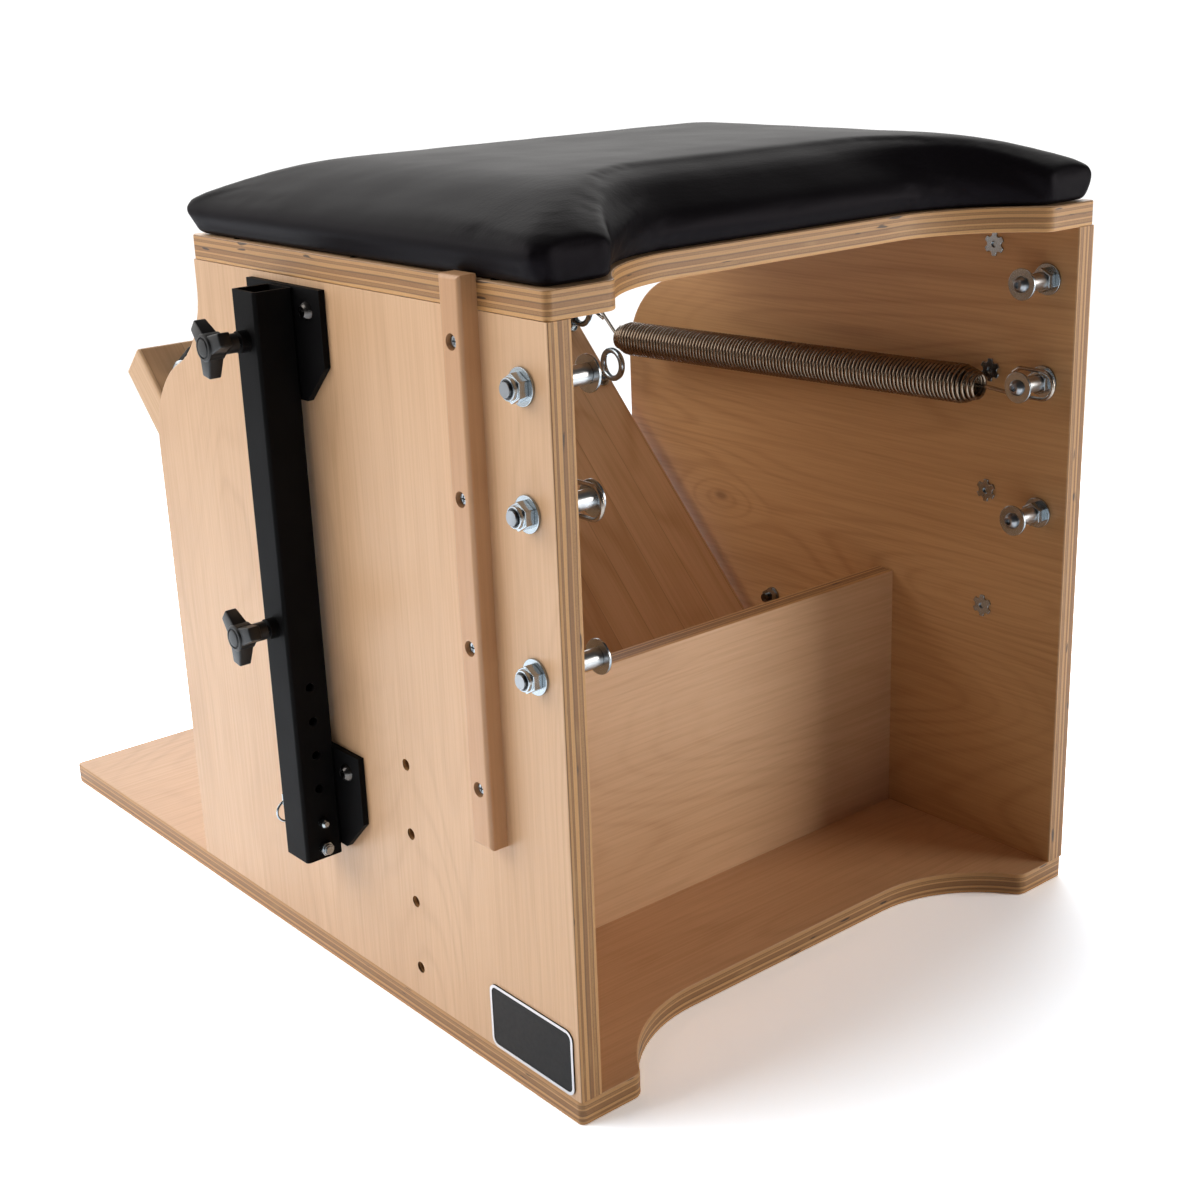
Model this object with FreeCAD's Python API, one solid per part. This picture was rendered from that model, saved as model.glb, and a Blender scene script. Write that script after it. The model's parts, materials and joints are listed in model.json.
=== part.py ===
import FreeCAD, Part
import math
import os
from FreeCAD import Placement, Rotation, Vector

os.makedirs("parts", exist_ok=True)

# Pilates chair in millimetres: +Z up, the pedal faces -Y, the open rear of the case faces +Y.
# The origin is on the floor under the middle of the base board, and left is +X.

# Case boards
board = 19.0
case_width = 540.0
base_length = 806.0
side_depth = 534.0
side_height = 540.0
top_depth = 438.0
corner_round = 5.0
board_ease = 1.2
curve_below_top = 19.0
curve_height = 145.0
curve_hollow_share = 0.47
notch_depth = 62.0
notch_radius = 120.0
notch_from_side = 160.0
ear_round = 12.0
partition_from_rear = 181.0
partition_height = 224.0

# Clearances
fit = 0.1
running = 0.05
seat_gap = 0.3
overrun = 2.0

# Wood screws, flat headed
screw_radius = 2.2
screw_head_radius = 4.2
screw_head_height = 2.4
long_screw_length = 48.0
short_screw_length = 15.0
base_screw_from_rear = 70.0
base_screw_pitch = 130.0
base_screw_count = 4
top_screw_from_rear = 60.0
top_screw_pitch = 160.0
screw_end_margin = 20.0
recess_width_share = 0.22
recess_length_share = 0.95
recess_depth_share = 0.75

# Partition screws in counterbores
partition_bore_radius = 4.5
partition_bore_depth = 9.0
partition_screw_head_radius = 4.2
partition_screw_head_height = 3.0
partition_screw_length = 44.0
partition_screw_first = 26.0
partition_screw_pitch = 56.0
partition_screw_count = 4

# Name plate
plate_length = 94.0
plate_height = 51.0
plate_thickness = 1.2
plate_round = 7.0
plate_from_rear = 6.0
plate_above_base = 2.0
plate_rim = 2.2
plate_rim_depth = 0.3

# Cushion: the wall and the crown, each as rises above the board and insets of the outline
wall_rises = (0.0, 6.0, 14.0, 24.0)
wall_insets = (4.0, 0.2, -4.6, -4.0)
wall_rear_insets = (3.2, 2.2, 0.6, 0.8)
wall_corner = 10.0
wall_notch_depth = 60.0
crown_rises = (24.0, 30.8, 37.0, 43.0, 48.0, 51.4, 53.0, 53.7, 54.0)
crown_insets = (-4.0, 9.0, 25.0, 42.0, 60.0, 79.0, 101.0, 125.0, 150.0)
crown_rear_insets = (0.8, 13.0, 28.0, 45.0, 64.0, 85.0, 108.0, 133.0, 158.0)
crown_notch_depths = (60.0, 55.0, 48.0, 39.0, 30.0, 21.0, 13.0, 8.0, 5.0)
cushion_notch_radius = 122.0
crown_notch_growth_share = 1.2
crown_flat_share = 0.8
cushion_ear_round = 11.0
backing_thickness = 9.0
backing_inset = 22.0
backing_notch_margin = 16.0
seat_screw_length = 25.0
seat_screw_across = 150.0
seat_screw_from_front = 70.0
seat_screw_pitch = 110.0

# Pedal, built lying flat and then turned up to its rest angle
rest_angle = 46.4
hinge_from_rear = 268.0
pedal_side_gap = 16.0
pedal_thickness = 35.0
pedal_reach = 567.0
pedal_root_gap = 7.0
pedal_ease = 3.0

# Continuous hinge
knuckle_radius = 4.0
hinge_pin_radius = 2.0
hinge_pin_head_radius = 3.4
hinge_pin_head = 1.5
hinge_end_inset = 15.0
knuckle_count = 11
knuckle_gap = 0.4
leaf_width = 34.0
leaf_thickness = 2.0
leaf_screw_from_pin = 20.0
leaf_screw_count = 6
leaf_screw_margin = 30.0

# Eyebolts
eye_from_edge = 13.0
upper_eye_from_tip = 56.0
lower_eye_from_tip = 124.0
eye_height = 26.0
eye_ring_radius = 14.0
eye_wire_radius = 3.2
eye_shank_radius = 3.0
eye_washer_radius = 8.0
eye_washer_thickness = 1.6
eye_nut_flat = 10.0
eye_nut_height = 5.0
eye_recess_radius = 9.5
eye_recess_depth = 10.0

# Rubber bumpers
top_bumper_inside_eye = 27.0
top_bumper_from_tip = 36.0
top_bumper_radius = 18.0
top_bumper_crown_radius = 14.0
top_bumper_height = 27.5
stop_bumper_from_edge = 40.0
stop_bumper_from_tip = 82.0
stop_bumper_radius = 12.0
stop_bumper_crown_radius = 10.5
bumper_hole_radius = 5.0
bumper_sole = 10.0
stop_bumper_sole = 3.5
bumper_screw_length = 25.0
bumper_screw_head_height = 2.5
bumper_screw_head_radius = 4.4

# Posts for the springs
post_from_rear = 27.0
post_top_below_top = 42.0
post_middle_below_top = 123.0
post_low_below_top = 232.0
post_bolt_radius = 5.0
post_washer_radius = 12.5
post_washer_thickness = 2.0
post_sleeve_radius = 6.75
post_jam_nut_height = 8.0
post_sleeve_length = 22.0
post_head_radius = 6.6
post_head_height = 5.0
post_head_crown_radius = 3.2
post_socket_flat = 5.0
post_socket_depth = 3.0
post_nut_flat = 17.0
post_nut_height = 7.0
post_nut_crown_height = 3.0
post_nut_crown_radius = 7.4
post_bolt_overhang = 2.0

# Springs
coil_front_inside_eye = 15.0
coil_rear_from_panel = 28.0
coil_front_height = 421.7
coil_rear_below_post = 5.0
coil_front_from_rear = 496.0
coil_rear_from_rear = 67.3
coil_radius = 15.0
coil_wire_radius = 1.6
coil_end_radius = 9.4
coil_turns = 48
coil_taper_turns = 2
plug_small_radius = 9.7
plug_large_radius = 12.7
plug_start = 9.0
plug_length = 9.0
hook_wire_radius = 1.6
front_hook_half_width = 8.0
front_hook_bend = 7.6
front_hook_tail = 16.0
front_hook_tail_drop = 7.0
front_hook_lead = 3.0
front_hook_turn = 6.0
front_hook_rise = 20.0
front_hook_rise_reach = 32.0
rear_loop_length = 31.0
rear_loop_height = 19.2
rear_loop_back = 7.2
rear_loop_above_post = 1.7
rear_loop_outward = 7.0
rear_hook_lead = 6.0
rear_hook_turn = 5.0
rear_hook_mouth = 7.0

# Battens
batten_from_rear = 80.0
batten_width = 22.0
batten_thickness = 14.0
batten_bottom = 191.0
batten_above_top = 4.0
batten_ease = 3.0
batten_screw_from_foot = 43.0
batten_screw_from_end = 42.0
batten_screw_count = 4
batten_screw_radius = 2.5
batten_screw_head_radius = 4.8
batten_screw_head_height = 3.0
batten_bore_radius = 5.5
batten_bore_depth = 5.5
tee_flange_radius = 9.5
tee_flange_thickness = 1.5
tee_barrel_radius = 3.8
tee_barrel_length = 10.0
tee_petals = 6
tee_petal_radius = 2.6

# Handle receivers
tube_from_rear = 299.0
tube_side = 32.0
tube_wall = 3.0
tube_round = 3.0
tube_bottom = 111.0
tube_below_top = 6.0
mount_plate_thickness = 5.0
mount_plate_width = 100.0
mount_plate_height = 82.0
upper_plate_below_top = 5.0
lower_plate_top = 200.0
mount_plate_chamfer = 27.0
mount_bolt_across = 65.0
mount_bolt_below_top = 16.0
mount_bolt_radius = 4.0
mount_head_radius = 7.0
mount_head_height = 4.4
mount_head_crown_radius = 4.0
mount_socket_flat = 5.0
mount_socket_depth = 2.4
mount_washer_radius = 8.0
mount_washer_thickness = 1.6
mount_nut_flat = 13.0
mount_nut_height = 6.5
mount_bolt_overhang = 4.5
pin_height = 142.0
pin_hole_pitch = 27.9
pin_hole_count = 5
pin_hole_radius = 3.6

# Clamp knobs
upper_knob_below_end = 35.5
lower_knob_height = 302.0
boss_radius = 8.0
boss_length = 7.0
stud_radius = 4.0
stud_grip = 10.0
knob_gap = 2.0
knob_neck_radius = 7.0
knob_neck_length = 12.0
knob_neck_end_radius = 9.0
knob_thickness = 12.0
knob_hub_radius = 9.5
knob_cap = 2.5
knob_lobe_reach = 16.5
knob_lobe_radius = 5.5
knob_valley_radius = 10.5
knob_ease = 1.5
knob_lobe_count = 3
knob_first_angle = 20.0

# Lock pins and pull rings
pin_radius = 3.5
pin_tip = 7.0
pin_tip_cone = 1.5
pin_head_radius = 5.0
pin_head_length = 26.0
pin_tongue_length = 7.0
pin_tongue_thickness = 3.0
pin_head_hole_from_end = 3.5
ring_mean_radius = 8.75
ring_wire_radius = 1.0
ring_hole_radius = 1.4

# Stop bolts at the foot of each tube
stop_bolt_above_foot = 9.5
stop_bolt_radius = 3.0
stop_head_flat = 10.0
stop_head_height = 4.0
stop_nut_flat = 10.0
stop_nut_height = 5.0
stop_nut_crown_height = 2.0
stop_nut_crown_radius = 4.2
stop_bolt_overhang = 1.0

# Places that follow from the sizes above
rear = base_length / 2
front = -rear
half = case_width / 2
inner = half - board
notch_flat = 2 * (half - notch_from_side)
side_top = board + side_height
top_face = side_top + board
pedal_width = 2 * (inner - pedal_side_gap)
hinge_length = pedal_width - 2 * hinge_end_inset
eye_x = pedal_width / 2 - eye_from_edge
top_bumper_x = eye_x - top_bumper_inside_eye
stop_bumper_x = pedal_width / 2 - stop_bumper_from_edge
post_top_height = side_top - post_top_below_top
post_middle_height = side_top - post_middle_below_top
post_low_height = side_top - post_low_below_top
coil_front_x = eye_x - coil_front_inside_eye
coil_rear_x = inner - coil_rear_from_panel
coil_rear_height = post_middle_height - coil_rear_below_post
batten_top = top_face + batten_above_top
batten_screw_first = batten_bottom + batten_screw_from_foot
batten_screw_span = batten_top - batten_screw_from_end - batten_screw_first
tube_top = side_top - tube_below_top
upper_plate_top = side_top - upper_plate_below_top
upper_knob_height = tube_top - upper_knob_below_end
hinge_y = rear - hinge_from_rear
hinge_z = board + knuckle_radius
pedal_under = hinge_z + knuckle_radius
pedal_face = pedal_under + pedal_thickness
pedal_tip = hinge_y - pedal_reach
post_y = rear - post_from_rear
post_heights = (post_low_height, post_middle_height, post_top_height)
batten_y = rear - batten_from_rear
tube_y = rear - tube_from_rear
tube_inner_x = half + mount_plate_thickness
tube_outer_x = tube_inner_x + tube_side
tube_x = tube_inner_x + tube_side / 2
partition_rear_y = rear - partition_from_rear
partition_y = partition_rear_y - board / 2
along_x = Vector(1, 0, 0)
along_y = Vector(0, 1, 0)
along_z = Vector(0, 0, 1)


def save(name, *solids):
    shape = solids[0] if len(solids) == 1 else Part.makeCompound(list(solids))
    shape.exportStep(os.path.join("parts", name + ".step"))


def mirrored(shape):
    return shape.mirror(Vector(), along_x)


def both(shapes):
    return list(shapes) + [mirrored(shape) for shape in shapes]


def place(shape, point, outward):
    # Shapes are drawn with their top at the origin and their axis along +Z.
    shape.Placement = Placement(point, Rotation(along_z, outward)).multiply(shape.Placement)
    return shape


def block(x0, x1, y0, y1, z0, z1):
    return Part.makeBox(x1 - x0, y1 - y0, z1 - z0, Vector(x0, y0, z0))


def rod(radius, start, end):
    return Part.makeCylinder(radius, (end - start).Length, start, end - start)


def ring(outer, bore, start, end):
    return rod(outer, start, end).cut(rod(bore, start, end))


def hexagon(flat, height, start, direction):
    radius = flat / math.sqrt(3)
    corners = [Vector(radius * math.cos(math.radians(60 * i)), radius * math.sin(math.radians(60 * i)), 0)
               for i in range(6)]
    prism = Part.Face(Part.makePolygon(corners + corners[:1])).extrude(along_z * height)
    return place(prism, start, direction)


def arc(a, b, c):
    return Part.Arc(a, b, c).toShape()


def line(a, b):
    return Part.LineSegment(a, b).toShape()


def polar(centre, radius, angle, z):
    return Vector(centre[0] + radius * math.cos(angle), centre[1] + radius * math.sin(angle), z)


def dome(radius, crown_radius, height, point, outward):
    # A button head: a spherical cap between a rim and a smaller flat top.
    rise = (radius ** 2 - crown_radius ** 2 - height ** 2) / (2 * height)
    ball = Part.makeSphere(math.hypot(radius, rise), Vector(0, 0, -rise))
    cap = ball.common(Part.makeCylinder(radius, height))
    return place(cap, point, outward)


def cross_recess(head_radius, depth):
    arm = head_radius * recess_length_share / 2
    width = head_radius * recess_width_share / 2
    first = block(-arm, arm, -width, width, -depth, overrun)
    return first.fuse(block(-width, width, -arm, arm, -depth, overrun))


def flat_screw(point, outward, length, slack=0.0, slotted=True):
    # Countersunk wood screw with its head's top at the point.
    head = Part.makeCone(screw_radius + slack, screw_head_radius + slack, screw_head_height,
                         Vector(0, 0, -screw_head_height))
    shank = Part.makeCylinder(screw_radius + slack, length + slack, Vector(0, 0, -length - slack))
    shape = head.fuse(shank)
    if slotted:
        shape = shape.cut(cross_recess(screw_head_radius, screw_head_height * recess_depth_share))
    return place(shape, point, outward)


def pan_screw(point, outward, radius, head_radius, head_height, length):
    # Round-headed screw whose head's underside is at the point.
    head = Part.makeCylinder(head_radius, head_height)
    head = head.makeFillet(head_height / 2, [e for e in head.Edges if e.BoundBox.ZMin > head_height / 2])
    shank = Part.makeCylinder(radius, length, Vector(0, 0, -length))
    recess = cross_recess(head_radius, head_height * recess_depth_share)
    recess.translate(along_z * head_height)
    return place(head.fuse(shank).cut(recess), point, outward)


def lock_nut(flat, height, crown_height, crown_radius, bore, start, outward):
    body = hexagon(flat, height, start, outward)
    crown_start = start + outward * height
    crown_end = crown_start + outward * crown_height
    return body.fuse(rod(crown_radius, crown_start, crown_end)).cut(rod(bore, start, crown_end))


def button_bolt(radius, head_radius, crown_radius, head_height,
                socket_flat, socket_depth, length, point, outward):
    # Domed head with a hexagon socket, its underside at the point.
    head = dome(head_radius, crown_radius, head_height, point, outward)
    shank = rod(radius, point, point - outward * length)
    socket_foot = point + outward * (head_height - socket_depth)
    socket = hexagon(socket_flat, socket_depth + overrun, socket_foot, outward)
    return head.fuse(shank).cut(socket)


def eased(shape, radius, wanted):
    return shape.makeFillet(radius, [e for e in shape.Edges if wanted(e)])


def notched_outline(half_width, front_y, rear_y, depth, radius, flat_half, ear, corner, z):
    # Board outline with the curved cut-out at its rear: lines and arcs that all run into each other.
    hollow = (flat_half, rear_y - depth + radius)
    ear_x = flat_half + math.sqrt(depth * (2 * (radius + ear) - depth))
    tip = (ear_x, rear_y - ear)
    turn = math.atan2(tip[1] - hollow[1], tip[0] - hollow[0])
    low = -math.pi / 2
    meet = polar(hollow, radius, turn, z)
    front_corner = (half_width - corner, front_y + corner)
    rear_corner = (half_width - corner, rear_y - corner)

    def half_edges(flip):
        def at(v):
            return Vector(-v.x, v.y, v.z) if flip else v

        p0 = polar(front_corner, corner, low, z)
        p1 = polar(front_corner, corner, 0, z)
        p2 = polar(rear_corner, corner, 0, z)
        p3 = polar(rear_corner, corner, -low, z)
        p4 = polar(tip, ear, -low, z)
        p5 = polar(hollow, radius, low, z)
        return [arc(at(p0), at(polar(front_corner, corner, low / 2, z)), at(p1)),
                line(at(p1), at(p2)),
                arc(at(p2), at(polar(rear_corner, corner, -low / 2, z)), at(p3)),
                line(at(p3), at(p4)),
                arc(at(p4), at(polar(tip, ear, (turn + math.pi - low) / 2, z)), at(meet)),
                arc(at(meet), at(polar(hollow, radius, (turn + low) / 2, z)), at(p5))]

    right = half_edges(False)
    left = half_edges(True)
    flat = line(Vector(flat_half, rear_y - depth, z), Vector(-flat_half, rear_y - depth, z))
    edge = line(Vector(-front_corner[0], front_y, z), Vector(front_corner[0], front_y, z))
    return Part.Wire(Part.__sortEdges__(right + [flat] + left[::-1] + [edge]))


def notched_board(front_y, z):
    outline = notched_outline(half, front_y, rear, notch_depth, notch_radius, notch_flat / 2,
                              ear_round, corner_round, z)
    return Part.Face(outline).extrude(along_z * board)


def hollowed(shape, cutters):
    for cutter in cutters:
        shape = shape.cut(cutter)
    return shape


def bent_wire(points, radii, wire_radius):
    # Round wire along straight runs joined by tangent bends.
    edges = []
    last = points[0]
    for before, corner, after, radius in zip(points, points[1:], points[2:], radii):
        back = (before - corner).normalize()
        ahead = (after - corner).normalize()
        half_angle = back.getAngle(ahead) / 2
        reach = radius / math.tan(half_angle)
        start = corner + back * reach
        end = corner + ahead * reach
        middle_way = (back + ahead).normalize()
        middle = corner + middle_way * (radius / math.sin(half_angle) - radius)
        if (start - last).Length > seat_gap:
            edges.append(line(last, start))
        else:
            start = last
        edges.append(arc(start, middle, end))
        last = end
    if (points[-1] - last).Length > seat_gap:
        edges.append(line(last, points[-1]))
    path = Part.Wire(edges)
    way = points[1] - points[0]
    profile = Part.Wire(Part.makeCircle(wire_radius, points[0], way))
    return path.makePipeShell([profile], True, False)


def biarc(p0, t0, p1, t1):
    # Two arcs that leave one point and reach the next along the given directions.
    gap = p1 - p0
    both_ways = t0 + t1
    spread = 2 * (1 - t0.dot(t1))
    lean = gap.dot(both_ways)
    reach = (math.sqrt(lean ** 2 + spread * gap.dot(gap)) - lean) / spread
    q0 = p0 + t0 * reach
    q1 = p1 - t1 * reach
    joint = (q0 + q1) * 0.5

    def half_arc(a, corner, b):
        chord_middle = (a + b) * 0.5
        rise = corner - chord_middle
        half_chord = (b - a).Length / 2
        bend = math.atan2(rise.Length, half_chord)
        return arc(a, chord_middle + rise.normalize() * (half_chord * math.tan(bend / 2)), b)

    return [half_arc(p0, q0, joint), half_arc(joint, q1, p1)]


def coil(start, end):
    # One unbroken wire, wound between two points and drawn in at both ends.
    axis = end - start
    length = axis.Length
    axis.normalize()
    side = along_z.cross(axis).normalize()
    up = axis.cross(side)
    full = 2 * math.pi
    steps = 2 * coil_turns

    def radius_at(turn):
        share = min(min(turn, coil_turns - turn) / coil_taper_turns, 1)
        share = max(share, 0)
        return coil_end_radius + (coil_radius - coil_end_radius) * share * share * (3 - 2 * share)

    def point_at(turn):
        r = radius_at(turn)
        return (start + axis * (length * turn / coil_turns)
                + side * (r * math.cos(full * turn)) + up * (r * math.sin(full * turn)))

    def way_at(turn):
        nudge = 1 / (steps * steps)
        return (point_at(turn + nudge) - point_at(turn - nudge)).normalize()

    stations = [i * coil_turns / steps for i in range(steps + 1)]
    points = [point_at(t) for t in stations]
    ways = [way_at(t) for t in stations]
    tail = 2 * coil_wire_radius
    first = points[0] - ways[0] * tail
    edges = [line(first, points[0])]
    for i in range(steps):
        edges += biarc(points[i], ways[i], points[i + 1], ways[i + 1])
    edges.append(line(points[-1], points[-1] + ways[-1] * tail))
    path = Part.Wire(edges)
    profile = Part.Wire(Part.makeCircle(coil_wire_radius, first, ways[0]))
    solid = path.makePipeShell([profile], True, False)

    per_turn = 24
    trail = [point_at(i / per_turn) for i in range(coil_turns * per_turn + 1)]
    gap = min((trail[i] - trail[j]).Length for i in range(len(trail))
              for j in range(i + per_turn // 2, min(i + 2 * per_turn, len(trail))))
    print("coil: least gap between turns %.2f mm, valid %s" % (gap - 2 * coil_wire_radius, solid.isValid()))
    return solid


def raised(shape):
    # Turns a piece of the pedal from lying flat to its rest angle.
    shape.rotate(Vector(0, hinge_y, hinge_z), along_x, -rest_angle)
    return shape


def raised_point(x, y, z):
    turn = Rotation(along_x, -rest_angle)
    return turn.multVec(Vector(x, y - hinge_y, z - hinge_z)) + Vector(0, hinge_y, hinge_z)


# Screw places in the case
panel_x = half - board / 2
base_screw_ys = [rear - base_screw_from_rear - i * base_screw_pitch for i in range(base_screw_count)]
top_screw_room = top_depth - top_screw_from_rear - screw_end_margin
top_screw_count = int(top_screw_room // top_screw_pitch) + 1
top_screw_ys = [rear - top_screw_from_rear - i * top_screw_pitch for i in range(top_screw_count)]
down = -along_z
base_screw_points = [Vector(panel_x, y, 0) for y in base_screw_ys]
top_screw_points = [Vector(panel_x, y, top_face) for y in top_screw_ys]
partition_screw_points = [Vector(half - partition_bore_depth, partition_y,
                                 board + partition_screw_first + i * partition_screw_pitch)
                          for i in range(partition_screw_count)]
batten_screw_pitch = batten_screw_span / (batten_screw_count - 1)
batten_screw_points = [Vector(half, batten_y, batten_screw_first + i * batten_screw_pitch)
                       for i in range(batten_screw_count)]
mount_bolt_points = [Vector(half, tube_y + side * mount_bolt_across / 2, top - mount_bolt_below_top)
                     for top in (upper_plate_top, lower_plate_top) for side in (-1, 1)]
seat_front = rear - top_depth + seat_screw_from_front
seat_screw_room = rear - notch_depth - backing_notch_margin - screw_end_margin - seat_front
seat_screw_rows = int(seat_screw_room // seat_screw_pitch) + 1
seat_screw_ys = [seat_front + i * seat_screw_pitch for i in range(seat_screw_rows)]
seat_screw_points = [Vector(seat_screw_across, y, side_top) for y in seat_screw_ys]

# Base board
base = eased(notched_board(front, 0), board_ease, lambda e: e.BoundBox.ZLength < board / 2)
base_cuts = both([flat_screw(p, down, long_screw_length, fit, False) for p in base_screw_points])
leaf_span = hinge_length - 2 * leaf_screw_margin
leaf_screw_xs = [-leaf_span / 2 + i * leaf_span / (leaf_screw_count - 1) for i in range(leaf_screw_count)]
leaf_screw_y = hinge_y + leaf_screw_from_pin
base_leaf_top = board + leaf_thickness
for x in leaf_screw_xs:
    leaf_hole = Vector(x, leaf_screw_y, base_leaf_top)
    base_cuts.append(flat_screw(leaf_hole, along_z, short_screw_length, fit, False))
save("base_board", hollowed(base, base_cuts))
save("base_screws", *both([flat_screw(p, down, long_screw_length) for p in base_screw_points]))

# Top board
top = eased(notched_board(rear - top_depth, side_top), board_ease, lambda e: e.BoundBox.ZLength < board / 2)
top_cuts = [flat_screw(p, along_z, long_screw_length, fit, False) for p in top_screw_points]
top_cuts += [flat_screw(p, down, seat_screw_length, fit, False) for p in seat_screw_points]
save("top_board", hollowed(top, both(top_cuts)))
save("top_screws", *both([flat_screw(p, along_z, long_screw_length) for p in top_screw_points]))

# Side panels with the S-curved front edge
step = side_depth - top_depth
sweep = 2 * math.atan(step / curve_height)
radius_sum = curve_height / math.sin(sweep)
hollow_radius = radius_sum * curve_hollow_share
round_radius = radius_sum - hollow_radius
curve_top = side_top - curve_below_top
back_y = rear - top_depth
fore_y = rear - side_depth


def on_panel(y, z):
    return Vector(inner, y, z)


hollow_centre = (back_y - hollow_radius, curve_top)
round_centre = (fore_y + round_radius, curve_top - curve_height)


def panel_polar(centre, radius, angle):
    return on_panel(centre[0] + radius * math.cos(angle), centre[1] + radius * math.sin(angle))


curve_start = on_panel(back_y, curve_top)
curve_meet = panel_polar(hollow_centre, hollow_radius, -sweep)
curve_end = on_panel(fore_y, curve_top - curve_height)
panel_edges = [
    line(on_panel(rear, board), on_panel(rear, side_top)),
    line(on_panel(rear, side_top), on_panel(back_y, side_top)),
    line(on_panel(back_y, side_top), curve_start),
    arc(curve_start, panel_polar(hollow_centre, hollow_radius, -sweep / 2), curve_meet),
    arc(curve_meet, panel_polar(round_centre, round_radius, math.pi - sweep / 2), curve_end),
    line(curve_end, on_panel(fore_y, board)),
    line(on_panel(fore_y, board), on_panel(rear, board))]
panel = Part.Face(Part.Wire(panel_edges)).extrude(along_x * board)
panel = eased(panel, board_ease,
              lambda e: e.BoundBox.XLength < board_ease and e.BoundBox.ZLength > board_ease)
panel_cuts = [flat_screw(p, down, long_screw_length, fit, False) for p in base_screw_points]
panel_cuts += [flat_screw(p, along_z, long_screw_length, fit, False) for p in top_screw_points]
for p in partition_screw_points:
    panel_cuts.append(rod(partition_bore_radius, p, p + along_x * (partition_bore_depth + overrun)))
    panel_cuts.append(rod(screw_radius + fit, p - along_x * board, p))
for z in post_heights:
    panel_cuts.append(rod(post_bolt_radius + fit, Vector(inner - overrun, post_y, z),
                          Vector(half + overrun, post_y, z)))
for p in batten_screw_points:
    panel_cuts.append(rod(batten_screw_radius + fit, p - along_x * board, p + along_x * overrun))
    panel_cuts.append(rod(tee_barrel_radius + fit, p - along_x * (board + overrun),
                          p - along_x * (board - tee_barrel_length - fit)))
for p in mount_bolt_points:
    panel_cuts.append(rod(mount_bolt_radius + fit, p - along_x * (board + overrun), p + along_x * overrun))
side_panel = hollowed(panel, panel_cuts)
save("side_panel_left", side_panel)
save("side_panel_right", mirrored(side_panel))

# Partition
partition = block(-inner, inner, partition_rear_y - board, partition_rear_y, board, board + partition_height)
partition = eased(partition, board_ease,
                  lambda e: e.BoundBox.XLength > inner and e.BoundBox.ZMin > board + board_ease)
bite = partition_screw_length - board + partition_bore_depth
partition_cuts = [rod(screw_radius + fit, Vector(inner - bite - fit, p.y, p.z),
                      Vector(inner + overrun, p.y, p.z))
                  for p in partition_screw_points]
save("partition_board", hollowed(partition, both(partition_cuts)))
save("partition_screws", *both([pan_screw(p, along_x, screw_radius, partition_screw_head_radius,
                                          partition_screw_head_height, partition_screw_length)
                                for p in partition_screw_points]))

# Name plate, bare
plate_rear = rear - plate_from_rear
plate_bottom = board + plate_above_base
plate = block(half, half + plate_thickness, plate_rear - plate_length, plate_rear,
              plate_bottom, plate_bottom + plate_height)
plate = eased(plate, plate_round, lambda e: e.BoundBox.XLength > plate_thickness / 2)
field = block(half + plate_thickness - plate_rim_depth, half + plate_thickness + overrun,
              plate_rear - plate_length + plate_rim, plate_rear - plate_rim,
              plate_bottom + plate_rim, plate_bottom + plate_height - plate_rim)
field = eased(field, plate_round - plate_rim, lambda e: e.BoundBox.XLength > overrun)
save("name_plate", plate.cut(field))

# Cushion with drawn-in sides and a crown, over its backing board


def cushion_section(rise, inset, rear_inset, depth):
    # Higher up the cut-out gets shallower and wider, and the corners rounder.
    fade = 1 - depth / wall_notch_depth
    return notched_outline(half - inset, back_y + inset, rear - rear_inset, depth,
                           cushion_notch_radius * (1 + fade * crown_notch_growth_share),
                           (1 - fade * crown_flat_share) * notch_flat / 2, cushion_ear_round * (1 + fade),
                           wall_corner * (1 + fade), top_face + rise)


wall = Part.makeLoft([cushion_section(*row, wall_notch_depth)
                      for row in zip(wall_rises, wall_insets, wall_rear_insets)], True, False)
crown_rows = zip(crown_rises, crown_insets, crown_rear_insets, crown_notch_depths)
crown = Part.makeLoft([cushion_section(*row) for row in crown_rows], True, False)
cushion = wall.fuse(crown)
backing_edge = block(-half + backing_inset, half - backing_inset, back_y + backing_inset,
                     rear - notch_depth - backing_notch_margin, top_face, top_face + backing_thickness)
cushion = cushion.cut(backing_edge)
print("cushion: valid %s, crown at %.1f mm" % (cushion.isValid(), cushion.BoundBox.ZMax))
save("seat_cushion", cushion)
save("seat_backing_board", hollowed(backing_edge, both([flat_screw(p, down, seat_screw_length, fit, False)
                                                        for p in seat_screw_points])))
save("seat_screws", *both([flat_screw(p, down, seat_screw_length) for p in seat_screw_points]))

# Posts
bolts = []
sleeves = []
washers = []
jam_nuts = []
nuts = []
for z in post_heights:
    def at(x):
        return Vector(x, post_y, z)

    foot = inner - post_washer_thickness
    jam = foot - post_jam_nut_height
    spool = jam - post_sleeve_length
    under_head = spool - post_washer_thickness
    bore = post_bolt_radius + fit
    washers.append(ring(post_washer_radius, bore, at(foot), at(inner)))
    jam_nuts.append(hexagon(post_nut_flat, post_jam_nut_height, at(jam), along_x)
                    .cut(rod(bore, at(jam), at(foot))))
    sleeves.append(ring(post_sleeve_radius, bore, at(spool), at(jam)))
    washers.append(ring(post_washer_radius, bore, at(under_head), at(spool)))
    washers.append(ring(post_washer_radius, bore, at(half), at(half + post_washer_thickness)))
    nut_start = half + post_washer_thickness
    nuts.append(lock_nut(post_nut_flat, post_nut_height, post_nut_crown_height, post_nut_crown_radius,
                         bore, at(nut_start), along_x))
    bolt_end = nut_start + post_nut_height + post_nut_crown_height + post_bolt_overhang
    bolts.append(button_bolt(post_bolt_radius, post_head_radius, post_head_crown_radius, post_head_height,
                             post_socket_flat, post_socket_depth, bolt_end - under_head,
                             at(under_head), -along_x))
save("post_bolts", *both(bolts))
save("post_sleeves", *both(sleeves))
save("post_washers", *both(washers))
save("post_jam_nuts", *both(jam_nuts))
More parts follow.
